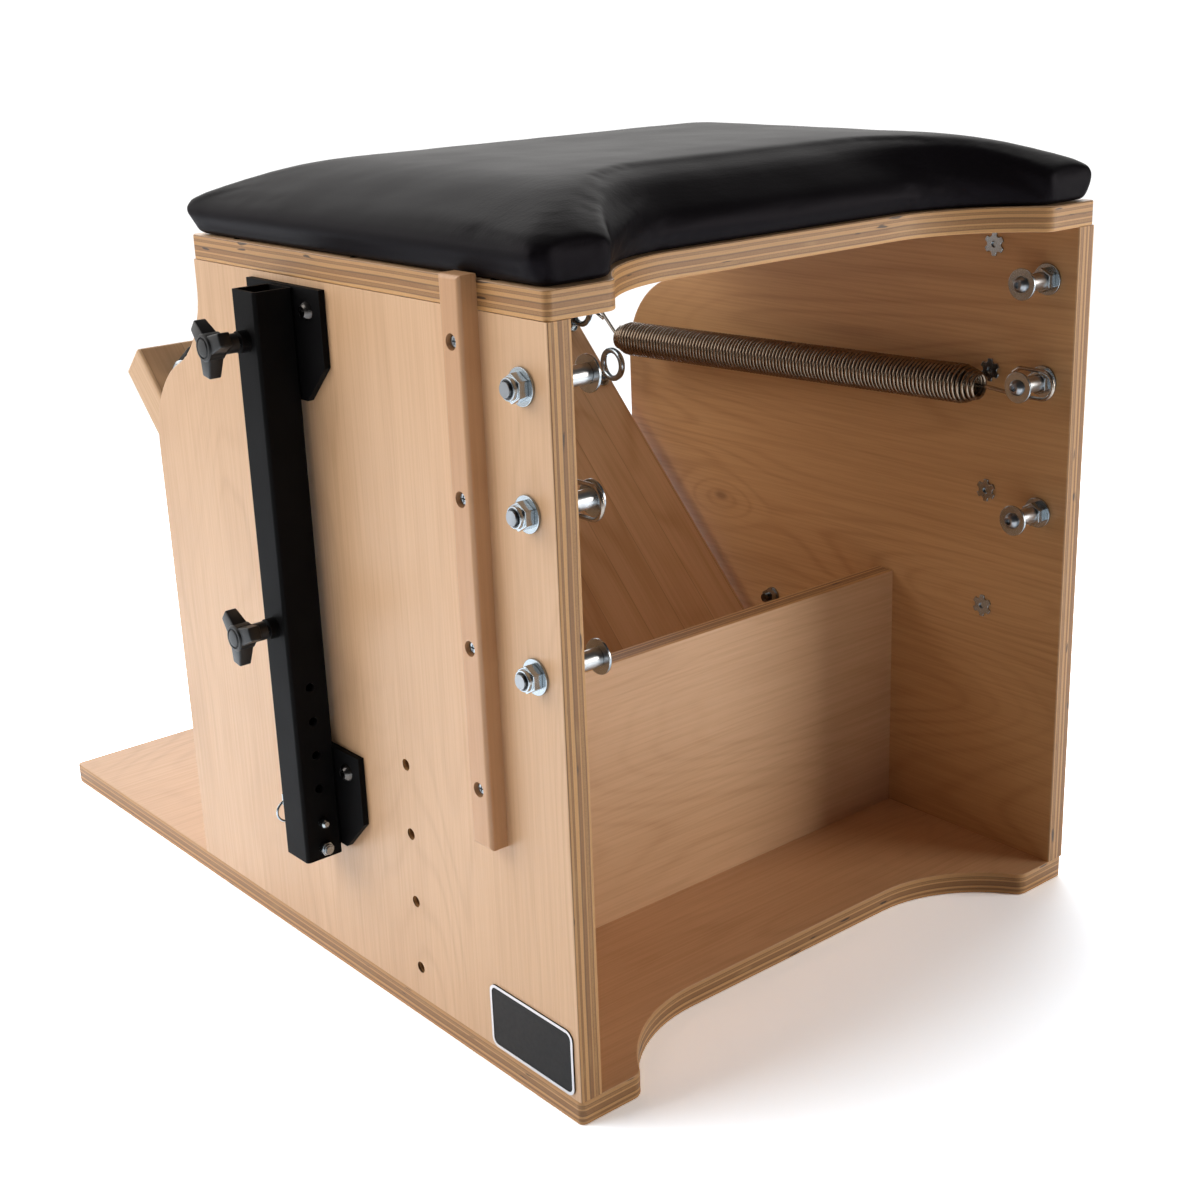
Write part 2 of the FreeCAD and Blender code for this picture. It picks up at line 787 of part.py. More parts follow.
save("post_lock_nuts", *both(nuts))

# Battens and their screws
batten = block(half, half + batten_thickness, batten_y - batten_width / 2, batten_y + batten_width / 2,
               batten_bottom, batten_top)
batten = eased(batten, batten_ease, lambda e: e.BoundBox.XMin > half + batten_thickness / 2)
batten_seat = batten_thickness - batten_bore_depth
batten_cuts = []
batten_screws = []
tee_nuts = []
for p in batten_screw_points:
    seat = p + along_x * batten_seat
    batten_cuts.append(rod(batten_bore_radius, seat, seat + along_x * (batten_bore_depth + overrun)))
    batten_cuts.append(rod(batten_screw_radius + fit, p - along_x * overrun, seat + along_x * overrun))
    batten_screws.append(pan_screw(seat, along_x, batten_screw_radius, batten_screw_head_radius,
                                   batten_screw_head_height, batten_seat + board))
    face = p - along_x * board
    flange_start = face - along_x * tee_flange_thickness
    flange = rod(tee_flange_radius, flange_start, face)
    for i in range(tee_petals):
        angle = 2 * math.pi * i / tee_petals
        away = Vector(0, math.cos(angle), math.sin(angle)) * tee_flange_radius
        flange = flange.cut(rod(tee_petal_radius, flange_start + away, face + away))
    nut = flange.fuse(rod(tee_barrel_radius, face, face + along_x * tee_barrel_length))
    tee_nuts.append(nut.cut(rod(batten_screw_radius + running, flange_start, face + along_x * board)))
batten = hollowed(batten, batten_cuts)
save("batten_left", batten)
save("batten_right", mirrored(batten))
save("batten_screws", *both(batten_screws))
save("tee_nuts", *both(tee_nuts))

# Handle receivers: tube, plates and bosses welded together
tube_half = tube_side / 2
bore_half = tube_half - tube_wall
receiver = block(tube_inner_x, tube_outer_x, tube_y - tube_half, tube_y + tube_half, tube_bottom, tube_top)
receiver = eased(receiver, tube_round, lambda e: e.BoundBox.ZLength > tube_side)
for plate_top in (upper_plate_top, lower_plate_top):
    foot = plate_top - mount_plate_height
    y0 = tube_y - mount_plate_width / 2
    y1 = tube_y + mount_plate_width / 2
    corners = [(y0, plate_top), (y1, plate_top), (y1, foot + mount_plate_chamfer),
               (y1 - mount_plate_chamfer, foot), (y0 + mount_plate_chamfer, foot),
               (y0, foot + mount_plate_chamfer), (y0, plate_top)]
    outline = Part.makePolygon([Vector(half, y, z) for y, z in corners])
    receiver = receiver.fuse(Part.Face(outline).extrude(along_x * mount_plate_thickness))
knob_heights = {"upper": upper_knob_height, "lower": lower_knob_height}
for z in knob_heights.values():
    face = Vector(tube_outer_x, tube_y, z)
    receiver = receiver.fuse(rod(boss_radius, face, face + along_x * boss_length))
receiver_cuts = [block(tube_x - bore_half, tube_x + bore_half, tube_y - bore_half, tube_y + bore_half,
                       tube_bottom - overrun, tube_top + overrun)]
for z in knob_heights.values():
    receiver_cuts.append(rod(stud_radius + running, Vector(tube_x, tube_y, z),
                             Vector(tube_outer_x + boss_length + overrun, tube_y, z)))
near_y = tube_y + tube_half
far_y = tube_y - tube_half
pin_hole_heights = [pin_height + i * pin_hole_pitch for i in range(pin_hole_count)]
for z in pin_hole_heights:
    receiver_cuts.append(rod(pin_hole_radius, Vector(tube_x, far_y - overrun, z),
                             Vector(tube_x, near_y + overrun, z)))
stop_z = tube_bottom + stop_bolt_above_foot
receiver_cuts.append(rod(stop_bolt_radius + fit, Vector(tube_x, far_y - overrun, stop_z),
                         Vector(tube_x, near_y + overrun, stop_z)))
for p in mount_bolt_points:
    receiver_cuts.append(rod(mount_bolt_radius + fit, p - along_x * overrun,
                             p + along_x * (mount_plate_thickness + overrun)))
receiver = hollowed(receiver, receiver_cuts)
save("receiver_left", receiver)
save("receiver_right", mirrored(receiver))

mount_bolts = []
mount_washers = []
mount_nuts = []
for p in mount_bolt_points:
    under_head = p + along_x * mount_plate_thickness
    face = p - along_x * board
    nut_face = face - along_x * mount_washer_thickness
    nut_end = nut_face - along_x * mount_nut_height
    length = (under_head - nut_end).Length + mount_bolt_overhang
    mount_bolts.append(button_bolt(mount_bolt_radius, mount_head_radius, mount_head_crown_radius,
                                   mount_head_height, mount_socket_flat, mount_socket_depth, length,
                                   under_head, along_x))
    mount_washers.append(ring(mount_washer_radius, mount_bolt_radius + fit, nut_face, face))
    mount_nuts.append(hexagon(mount_nut_flat, mount_nut_height, nut_face, -along_x)
                      .cut(rod(mount_bolt_radius + running, nut_end, nut_face)))
save("receiver_bolts", *both(mount_bolts))
save("receiver_washers", *both(mount_washers))
save("receiver_nuts", *both(mount_nuts))

# Stop bolts at the foot of the tubes
stop_head = Vector(tube_x, far_y, stop_z)
stop_seat = Vector(tube_x, near_y, stop_z)
stop_nut_end = near_y + stop_nut_height + stop_nut_crown_height
stop_bolt = hexagon(stop_head_flat, stop_head_height, stop_head, -along_y)
stop_bolt_end = Vector(tube_x, stop_nut_end + stop_bolt_overhang, stop_z)
stop_bolt = stop_bolt.fuse(rod(stop_bolt_radius, stop_head, stop_bolt_end))
save("stop_bolts", *both([stop_bolt]))
save("stop_nuts", *both([lock_nut(stop_nut_flat, stop_nut_height, stop_nut_crown_height, stop_nut_crown_radius,
                                  stop_bolt_radius + running, stop_seat, along_y)]))

# Clamp knobs on their studs
knob_start = tube_outer_x + boss_length + knob_gap
knob_foot = knob_start + knob_neck_length
knob_end = knob_foot + knob_thickness


def knob(z):
    centre = (tube_y, z)

    def spot(radius, angle):
        return Vector(knob_foot, centre[0] + radius * math.cos(angle), centre[1] + radius * math.sin(angle))

    lobe_turn = 2 * math.pi / knob_lobe_count
    side_reach = math.hypot(knob_lobe_reach, knob_lobe_radius)
    side_turn = math.atan2(knob_lobe_radius, knob_lobe_reach)
    edges = []
    for i in range(knob_lobe_count):
        angle = math.radians(knob_first_angle) + i * lobe_turn
        a = spot(side_reach, angle - side_turn)
        b = spot(side_reach, angle + side_turn)
        c = spot(side_reach, angle + lobe_turn - side_turn)
        edges.append(arc(a, spot(knob_lobe_reach + knob_lobe_radius, angle), b))
        edges.append(arc(b, spot(knob_valley_radius, angle + lobe_turn / 2), c))
    head = Part.Face(Part.Wire(edges)).extrude(along_x * knob_thickness)
    head = eased(head, knob_ease, lambda e: e.BoundBox.XLength < knob_ease)
    hub_start = Vector(knob_foot, tube_y, z)
    hub_end = Vector(knob_end + knob_cap, tube_y, z)
    neck = Part.makeCone(knob_neck_radius, knob_neck_end_radius, knob_neck_length,
                         Vector(knob_start, tube_y, z), along_x)
    head = head.fuse(rod(knob_hub_radius, hub_start, hub_end)).fuse(neck)
    socket = rod(stud_radius, Vector(knob_start - overrun, tube_y, z),
                 Vector(knob_start + stud_grip, tube_y, z))
    return head.cut(socket)


for level, z in knob_heights.items():
    head = knob(z)
    stud = rod(stud_radius, Vector(tube_outer_x - tube_wall, tube_y, z),
               Vector(knob_start + stud_grip, tube_y, z))
    save("clamp_knob_left_" + level, head)
    save("clamp_knob_right_" + level, mirrored(head))
    save("clamp_stud_left_" + level, stud)
    save("clamp_stud_right_" + level, mirrored(stud))

# Lock pins with a pull ring through the head
pin_end = near_y + pin_tip
head_start = far_y - pin_head_length


def on_pin(y):
    return Vector(tube_x, y, pin_height)


cone_start = pin_end - pin_tip_cone
pin = rod(pin_radius, on_pin(head_start), on_pin(cone_start))
pin = pin.fuse(Part.makeCone(pin_radius, pin_radius - pin_tip_cone, pin_tip_cone, on_pin(cone_start), along_y))
pin = pin.fuse(rod(pin_head_radius, on_pin(head_start), on_pin(far_y - seat_gap)))
ring_y = head_start + pin_head_hole_from_end
tongue_half = pin_tongue_thickness / 2
for x0, x1 in ((tube_x - tube_half, tube_x - tongue_half), (tube_x + tongue_half, tube_x + tube_half)):
    pin = pin.cut(block(x0, x1, head_start - overrun, head_start + pin_tongue_length,
                        pin_height - tube_half, pin_height + tube_half))
pin = pin.cut(rod(ring_hole_radius, Vector(tube_x - tube_half, ring_y, pin_height),
                  Vector(tube_x + tube_half, ring_y, pin_height)))
ring_centre = on_pin(ring_y) - along_z * ring_mean_radius
pull_ring = Part.makeTorus(ring_mean_radius, ring_wire_radius, ring_centre, along_y)
save("lock_pin_left", pin)
save("lock_pin_right", mirrored(pin))
save("pull_ring_left", pull_ring)
save("pull_ring_right", mirrored(pull_ring))

# Pedal, with everything on it drawn flat
pedal_half = pedal_width / 2
eye_ys = [pedal_tip + upper_eye_from_tip, pedal_tip + lower_eye_from_tip]
pedal = block(-pedal_half, pedal_half, pedal_tip, hinge_y - pedal_root_gap, pedal_under, pedal_face)
pedal = eased(pedal, pedal_ease, lambda e: e.BoundBox.YMin < hinge_y - pedal_reach / 2)
pedal_leaf_z = pedal_under - leaf_thickness
pedal_screw_y = hinge_y - leaf_screw_from_pin
pedal_cuts = [flat_screw(Vector(x, pedal_screw_y, pedal_leaf_z), down, short_screw_length, fit, False)
              for x in leaf_screw_xs]
eye_cuts = []
for y in eye_ys:
    below = Vector(eye_x, y, pedal_under - overrun)
    eye_cuts.append(rod(eye_shank_radius + fit, below, Vector(eye_x, y, pedal_face + overrun)))
    eye_cuts.append(rod(eye_recess_radius, below, Vector(eye_x, y, pedal_under + eye_recess_depth)))
top_bumper_at = Vector(top_bumper_x, pedal_tip + top_bumper_from_tip, pedal_face)
stop_bumper_at = Vector(stop_bumper_x, pedal_tip + stop_bumper_from_tip, pedal_under)
stop_bumper_height = pedal_under - board - seat_gap
top_bite = bumper_screw_length - bumper_sole
stop_bite = bumper_screw_length - stop_bumper_sole
eye_cuts.append(rod(screw_radius + fit, top_bumper_at - along_z * (top_bite + fit),
                    top_bumper_at + along_z * overrun))
eye_cuts.append(rod(screw_radius + fit, stop_bumper_at - along_z * overrun,
                    stop_bumper_at + along_z * (stop_bite + fit)))
save("pedal_board", raised(hollowed(pedal, pedal_cuts + both(eye_cuts))))

# Eyebolts with a nut and a washer on each face of the pedal
eyes = []
eye_washers = []
eye_nuts = []
for y in eye_ys:
    def eye_at(z):
        return Vector(eye_x, y, z)

    centre = pedal_face + eye_height
    recess_top = pedal_under + eye_recess_depth
    low_washer = recess_top - eye_washer_thickness
    low_nut = low_washer - eye_nut_height
    nut_foot = pedal_face + eye_washer_thickness
    bore = eye_shank_radius + running
    eye = Part.makeTorus(eye_ring_radius, eye_wire_radius, eye_at(centre), along_x)
    eye = eye.fuse(rod(eye_shank_radius, eye_at(low_nut - eye_washer_thickness),
                       eye_at(centre - eye_ring_radius)))
    eyes.append(eye)
    eye_washers.append(ring(eye_washer_radius, eye_shank_radius + fit, eye_at(pedal_face), eye_at(nut_foot)))
    eye_washers.append(ring(eye_washer_radius, eye_shank_radius + fit, eye_at(low_washer), eye_at(recess_top)))
    for foot in (nut_foot, low_nut):
        eye_nuts.append(hexagon(eye_nut_flat, eye_nut_height, eye_at(foot), along_z)
                        .cut(rod(bore, eye_at(foot), eye_at(foot + eye_nut_height))))
save("eyebolts", *[raised(s) for s in both(eyes)])
save("eyebolt_washers", *[raised(s) for s in both(eye_washers)])
save("eyebolt_nuts", *[raised(s) for s in both(eye_nuts)])


def bumper(radius, crown_radius, height, sole, point, outward):
    body = Part.makeCone(radius, crown_radius, height)
    body = eased(body, radius - crown_radius, lambda e: e.BoundBox.ZMin > height / 2)
    body = body.cut(Part.makeCylinder(screw_radius + fit, height))
    body = body.cut(Part.makeCylinder(bumper_hole_radius, height, Vector(0, 0, sole)))
    return place(body, point, outward)


top_bumper = bumper(top_bumper_radius, top_bumper_crown_radius, top_bumper_height, bumper_sole,
                    top_bumper_at, along_z)
stop_bumper = bumper(stop_bumper_radius, stop_bumper_crown_radius, stop_bumper_height, stop_bumper_sole,
                     stop_bumper_at, down)
bumper_screws = [
    pan_screw(top_bumper_at + along_z * bumper_sole, along_z, screw_radius, bumper_screw_head_radius,
              bumper_screw_head_height, bumper_screw_length),
    pan_screw(stop_bumper_at - along_z * stop_bumper_sole, down, screw_radius, bumper_screw_head_radius,
              bumper_screw_head_height, bumper_screw_length)]
save("pedal_top_bumpers", *[raised(s) for s in both([top_bumper])])
save("pedal_stop_bumpers", *[raised(s) for s in both([stop_bumper])])
save("bumper_screws", *[raised(s) for s in both(bumper_screws)])

# Continuous hinge
pitch = hinge_length / knuckle_count
knuckle_starts = [i * pitch - hinge_length / 2 for i in range(knuckle_count)]
knuckle_spans = [(x + knuckle_gap / 2, x + pitch - knuckle_gap / 2) for x in knuckle_starts]
pin_bore = rod(hinge_pin_radius + running, Vector(-hinge_length, hinge_y, hinge_z),
               Vector(hinge_length, hinge_y, hinge_z))


def leaf(plate, own, others):
    clear = knuckle_radius + knuckle_gap
    for x0, x1 in others:
        plate = plate.cut(block(x0 - knuckle_gap, x1 + knuckle_gap, hinge_y - clear, hinge_y + clear,
                                hinge_z - clear, hinge_z + clear))
    for x0, x1 in own:
        plate = plate.fuse(rod(knuckle_radius, Vector(x0, hinge_y, hinge_z), Vector(x1, hinge_y, hinge_z)))
    return plate.cut(pin_bore)


hinge_half = hinge_length / 2
base_leaf = block(-hinge_half, hinge_half, hinge_y, hinge_y + leaf_width, board, base_leaf_top)
base_leaf = leaf(base_leaf, knuckle_spans[0::2], knuckle_spans[1::2])
pedal_leaf = block(-hinge_half, hinge_half, hinge_y - leaf_width, hinge_y, pedal_leaf_z, pedal_under)
pedal_leaf = leaf(pedal_leaf, knuckle_spans[1::2], knuckle_spans[0::2])
base_leaf_screws = [Vector(x, leaf_screw_y, base_leaf_top) for x in leaf_screw_xs]
pedal_leaf_screws = [Vector(x, pedal_screw_y, pedal_leaf_z) for x in leaf_screw_xs]
save("hinge_base_leaf", hollowed(base_leaf, [flat_screw(p, along_z, short_screw_length, fit, False)
                                             for p in base_leaf_screws]))
save("hinge_pedal_leaf", raised(hollowed(pedal_leaf, [flat_screw(p, down, short_screw_length, fit, False)
                                                      for p in pedal_leaf_screws])))
save("hinge_base_screws", *[flat_screw(p, along_z, short_screw_length) for p in base_leaf_screws])
save("hinge_pedal_screws", *[raised(flat_screw(p, down, short_screw_length)) for p in pedal_leaf_screws])
pin_side = hinge_half + running
hinge_pin = rod(hinge_pin_radius, Vector(-pin_side, hinge_y, hinge_z), Vector(pin_side, hinge_y, hinge_z))
for way in (-1, 1):
    end = Vector(way * pin_side, hinge_y, hinge_z)
    hinge_pin = hinge_pin.fuse(rod(hinge_pin_head_radius, end, end + along_x * way * hinge_pin_head))
save("hinge_pin", hinge_pin)

# Springs: a coil with a hook in each end
eye_centre = raised_point(eye_x, eye_ys[0], pedal_face + eye_height)
apex = eye_centre.y + eye_ring_radius - eye_wire_radius - hook_wire_radius - seat_gap
for name, side in (("left", 1), ("right", -1)):
    coil_front = Vector(side * coil_front_x, rear - coil_front_from_rear, coil_front_height)
    coil_rear = Vector(side * coil_rear_x, rear - coil_rear_from_rear, coil_rear_height)
    way = (coil_rear - coil_front).normalize()
    save("spring_coil_" + name, coil(coil_front, coil_rear))

    plug_point = coil_front + way * plug_start
    plug = Part.makeCone(plug_small_radius, plug_large_radius, plug_length, plug_point, way)
    inner_x = side * (eye_x - front_hook_half_width)
    outer_x = side * (eye_x + front_hook_half_width)
    lead = coil_front - way * front_hook_lead
    points = [plug_point + way * plug_length / 2, lead,
              Vector(inner_x, lead.y - front_hook_rise_reach, lead.z + front_hook_rise),
              Vector(inner_x, apex, eye_centre.z), Vector(outer_x, apex, eye_centre.z),
              Vector(outer_x, apex + front_hook_tail, eye_centre.z - front_hook_tail_drop)]
    bends = [front_hook_turn, front_hook_turn, front_hook_bend, front_hook_bend]
    hook = bent_wire(points, bends, hook_wire_radius)
    save("spring_front_hook_" + name, hook.fuse(plug))

    plug_point = coil_rear - way * plug_start
    plug = Part.makeCone(plug_small_radius, plug_large_radius, plug_length, plug_point, -way)
    loop_y = post_y + rear_loop_back
    loop_z = post_middle_height + rear_loop_above_post
    bend = rear_loop_height / 2 + hook_wire_radius
    loop_rear = loop_y + rear_loop_length / 2 + hook_wire_radius
    loop_front = loop_y - rear_loop_length / 2
    x = coil_rear.x + side * rear_loop_outward
    points = [plug_point - way * plug_length / 2, coil_rear + way * rear_hook_lead,
              Vector(x, loop_front, loop_z - bend), Vector(x, loop_rear, loop_z - bend),
              Vector(x, loop_rear, loop_z + bend), Vector(x, loop_front, loop_z + bend),
              Vector(x, loop_front - rear_hook_lead, loop_z + rear_hook_mouth)]
    hook = bent_wire(points, [rear_hook_turn, rear_hook_turn, bend, bend, rear_hook_turn], hook_wire_radius)
    save("spring_rear_hook_" + name, hook.fuse(plug))
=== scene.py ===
import bpy
import bmesh
import json
import math
import numpy as np
from mathutils import Matrix, Vector, noise


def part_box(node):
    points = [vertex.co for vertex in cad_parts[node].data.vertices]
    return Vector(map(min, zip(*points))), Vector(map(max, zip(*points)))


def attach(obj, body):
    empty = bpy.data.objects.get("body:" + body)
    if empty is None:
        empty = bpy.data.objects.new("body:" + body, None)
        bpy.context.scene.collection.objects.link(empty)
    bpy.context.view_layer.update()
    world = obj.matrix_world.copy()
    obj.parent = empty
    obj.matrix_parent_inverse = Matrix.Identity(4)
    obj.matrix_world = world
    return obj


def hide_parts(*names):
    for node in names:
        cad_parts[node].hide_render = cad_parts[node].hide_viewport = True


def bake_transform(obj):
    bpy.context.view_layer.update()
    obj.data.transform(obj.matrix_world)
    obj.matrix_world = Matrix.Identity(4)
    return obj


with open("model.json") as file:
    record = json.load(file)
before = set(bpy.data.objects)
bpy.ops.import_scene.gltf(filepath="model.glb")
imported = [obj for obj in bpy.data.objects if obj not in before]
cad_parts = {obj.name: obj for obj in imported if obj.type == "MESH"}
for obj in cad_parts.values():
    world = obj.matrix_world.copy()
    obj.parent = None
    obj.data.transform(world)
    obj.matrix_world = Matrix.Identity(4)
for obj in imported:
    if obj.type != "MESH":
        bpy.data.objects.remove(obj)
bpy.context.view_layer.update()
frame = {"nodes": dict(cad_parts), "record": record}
nodes = frame["nodes"]
scene = bpy.context.scene
mm = 0.001


# Shader helpers

def put(tree, kind, props=None, ins=None):
    node = tree.nodes.new(kind)
    for key, value in (props or {}).items():
        setattr(node, key, value)
    for key, value in (ins or {}).items():
        if isinstance(value, bpy.types.NodeSocket):
            tree.links.new(value, node.inputs[key])
        else:
            node.inputs[key].default_value = value
    return node


def calc(tree, operation, a, b=0.0, c=0.0, clamp=False):
    node = put(tree, "ShaderNodeMath", {"operation": operation, "use_clamp": clamp}, {0: a, 1: b, 2: c})
    return node.outputs[0]


def vecScale(tree, vector, scale):
    return put(tree, "ShaderNodeVectorMath", {"operation": "MULTIPLY"}, {0: vector, 1: scale}).outputs[0]


def noiseTex(tree, vector, scale, detail=2.0, roughness=0.5, distortion=0.0):
    node = put(tree, "ShaderNodeTexNoise", {}, {"Vector": vector, "Scale": scale, "Detail": detail,
                                               "Roughness": roughness, "Distortion": distortion})
    return node.outputs["Fac"]


def ramp(tree, value, low, high, outLow=0.0, outHigh=1.0):
    node = put(tree, "ShaderNodeMapRange", {"interpolation_type": "SMOOTHSTEP"},
               {"Value": value, "From Min": low, "From Max": high, "To Min": outLow, "To Max": outHigh})
    return node.outputs[0]


def mixColor(tree, factor, a, b, blend="MIX"):
    node = put(tree, "ShaderNodeMix", {"data_type": "RGBA", "blend_type": blend})
    for index, value in ((0, factor), (6, a), (7, b)):
        if isinstance(value, bpy.types.NodeSocket):
            tree.links.new(value, node.inputs[index])
        else:
            node.inputs[index].default_value = value
    return node.outputs[2]


def newGroup(name, inputs, outputs):
    tree = bpy.data.node_groups.new(name, "ShaderNodeTree")
    for label, kind, value in inputs:
        socket = tree.interface.new_socket(label, in_out="INPUT", socket_type=kind)
        if value is not None:
            socket.default_value = value
    for label, kind in outputs:
        tree.interface.new_socket(label, in_out="OUTPUT", socket_type=kind)
    return tree, tree.nodes.new("NodeGroupInput"), tree.nodes.new("NodeGroupOutput")


def newMaterial(name):
    material = bpy.data.materials.new(name)
    material.use_nodes = True
    tree = material.node_tree
    return material, tree, tree.nodes["Principled BSDF"]


def useGroup(tree, group, ins):
    return put(tree, "ShaderNodeGroup", {"node_tree": group}, ins)


def bump(tree, height, strength, distance):
    return put(tree, "ShaderNodeBump", {},
               {"Height": height, "Strength": strength, "Distance": distance}).outputs[0]


# Veneer figure: flowing contour lines, fine fibres and short flecks along the first axis

def makeVeneer():
    tree, gin, gout = newGroup("veneer", [
        ("Coords", "NodeSocketVector", None), ("Light", "NodeSocketColor", (0.74, 0.51, 0.31, 1)),
        ("Dark", "NodeSocketColor", (0.50, 0.30, 0.15, 1)), ("Figure", "NodeSocketFloat", 1.0),
        ("Leaf", "NodeSocketFloat", 0.12), ("Seed", "NodeSocketFloat", 0.0),
        ("Knot", "NodeSocketVector", (50, 50, 0)), ("Island", "NodeSocketVector", (50, 50, 0))],
        [("Color", "NodeSocketColor"), ("Roughness", "NodeSocketFloat"), ("Height", "NodeSocketFloat")])

    def awayFrom(label, stretch):
        gap = put(tree, "ShaderNodeVectorMath", {"operation": "SUBTRACT"},
                  {0: gin.outputs["Coords"], 1: gin.outputs[label]}).outputs[0]
        return put(tree, "ShaderNodeVectorMath", {"operation": "LENGTH"},
                   {0: vecScale(tree, gap, stretch)}).outputs["Value"]

    shift = put(tree, "ShaderNodeCombineXYZ", {},
                {"X": gin.outputs["Seed"], "Y": gin.outputs["Seed"], "Z": gin.outputs["Seed"]})
    place = put(tree, "ShaderNodeVectorMath", {"operation": "ADD"},
                {0: gin.outputs["Coords"], 1: shift.outputs[0]}).outputs[0]
    split = put(tree, "ShaderNodeSeparateXYZ", {}, {0: gin.outputs["Coords"]})
    # Growth rings: contours of a slow field that swells at a knot and at an oval island
    broad = noiseTex(tree, vecScale(tree, place, (1.4, 6.0, 0.4)), 1.0, 2.0, 0.42, 0.3)
    knotAway = awayFrom("Knot", (0.7, 1.5, 0.0))
    broad = calc(tree, "ADD", broad, ramp(tree, knotAway, 0.0, 0.05, 0.10, 0.0))
    broad = calc(tree, "ADD", broad, ramp(tree, awayFrom("Island", (0.35, 1.5, 0.0)), 0.0, 0.12, 0.22, 0.0))
    wave = calc(tree, "SINE", calc(tree, "MULTIPLY", broad, 150.0))
    lines = calc(tree, "POWER", calc(tree, "MULTIPLY_ADD", wave, 0.5, 0.5), 4.0)
    patch = ramp(tree, noiseTex(tree, vecScale(tree, place, (3.0, 7.0, 1.0)), 1.3, 1.0), 0.40, 0.64)
    lines = calc(tree, "MULTIPLY", lines, calc(tree, "MULTIPLY_ADD", patch, 0.7, 0.3))
    bands = calc(tree, "MULTIPLY_ADD", calc(tree, "SINE", calc(tree, "MULTIPLY", broad, 41.0)), 0.5, 0.5)
    fibre = noiseTex(tree, vecScale(tree, place, (8.0, 430.0, 430.0)), 1.0, 3.0, 0.6)
    fleck = ramp(tree, noiseTex(tree, vecScale(tree, place, (55.0, 900.0, 900.0)), 1.0, 1.0), 0.66, 0.78)
    cloud = noiseTex(tree, vecScale(tree, place, (2.0, 5.0, 1.0)), 1.7, 2.0, 0.5)
    spread = calc(tree, "ADD", split.outputs["Y"], gin.outputs["Seed"])
    strip = calc(tree, "FLOOR", calc(tree, "DIVIDE", spread, gin.outputs["Leaf"]))
    tone = put(tree, "ShaderNodeTexWhiteNoise", {"noise_dimensions": "1D"}, {"W": strip}).outputs["Value"]
    drawn = calc(tree, "MULTIPLY_ADD", lines, 0.34, calc(tree, "MULTIPLY", bands, 0.08))
    amount = calc(tree, "MULTIPLY", drawn, gin.outputs["Figure"])
    amount = calc(tree, "ADD", amount, ramp(tree, fibre, 0.30, 0.75, 0.0, 0.24))
    amount = calc(tree, "ADD", amount, calc(tree, "MULTIPLY", fleck, 0.12))
    amount = calc(tree, "ADD", amount, ramp(tree, cloud, 0.3, 0.7, 0.0, 0.14))
    amount = calc(tree, "ADD", amount, calc(tree, "MULTIPLY", tone, 0.12), clamp=True)
    color = mixColor(tree, amount, gin.outputs["Light"], gin.outputs["Dark"])
    color = mixColor(tree, ramp(tree, knotAway, 0.002, 0.009, 0.6, 0.0), color, (0.16, 0.065, 0.025, 1))
    tree.links.new(color, gout.inputs["Color"])
    tree.links.new(ramp(tree, fibre, 0.2, 0.8, 0.36, 0.48), gout.inputs["Roughness"])
    height = calc(tree, "ADD", calc(tree, "MULTIPLY", fibre, -0.6), calc(tree, "MULTIPLY", lines, -0.25))
    tree.links.new(height, gout.inputs["Height"])
    return tree


# Plywood edge: uneven plies, glue lines, end-grain speckle and a few dark gaps

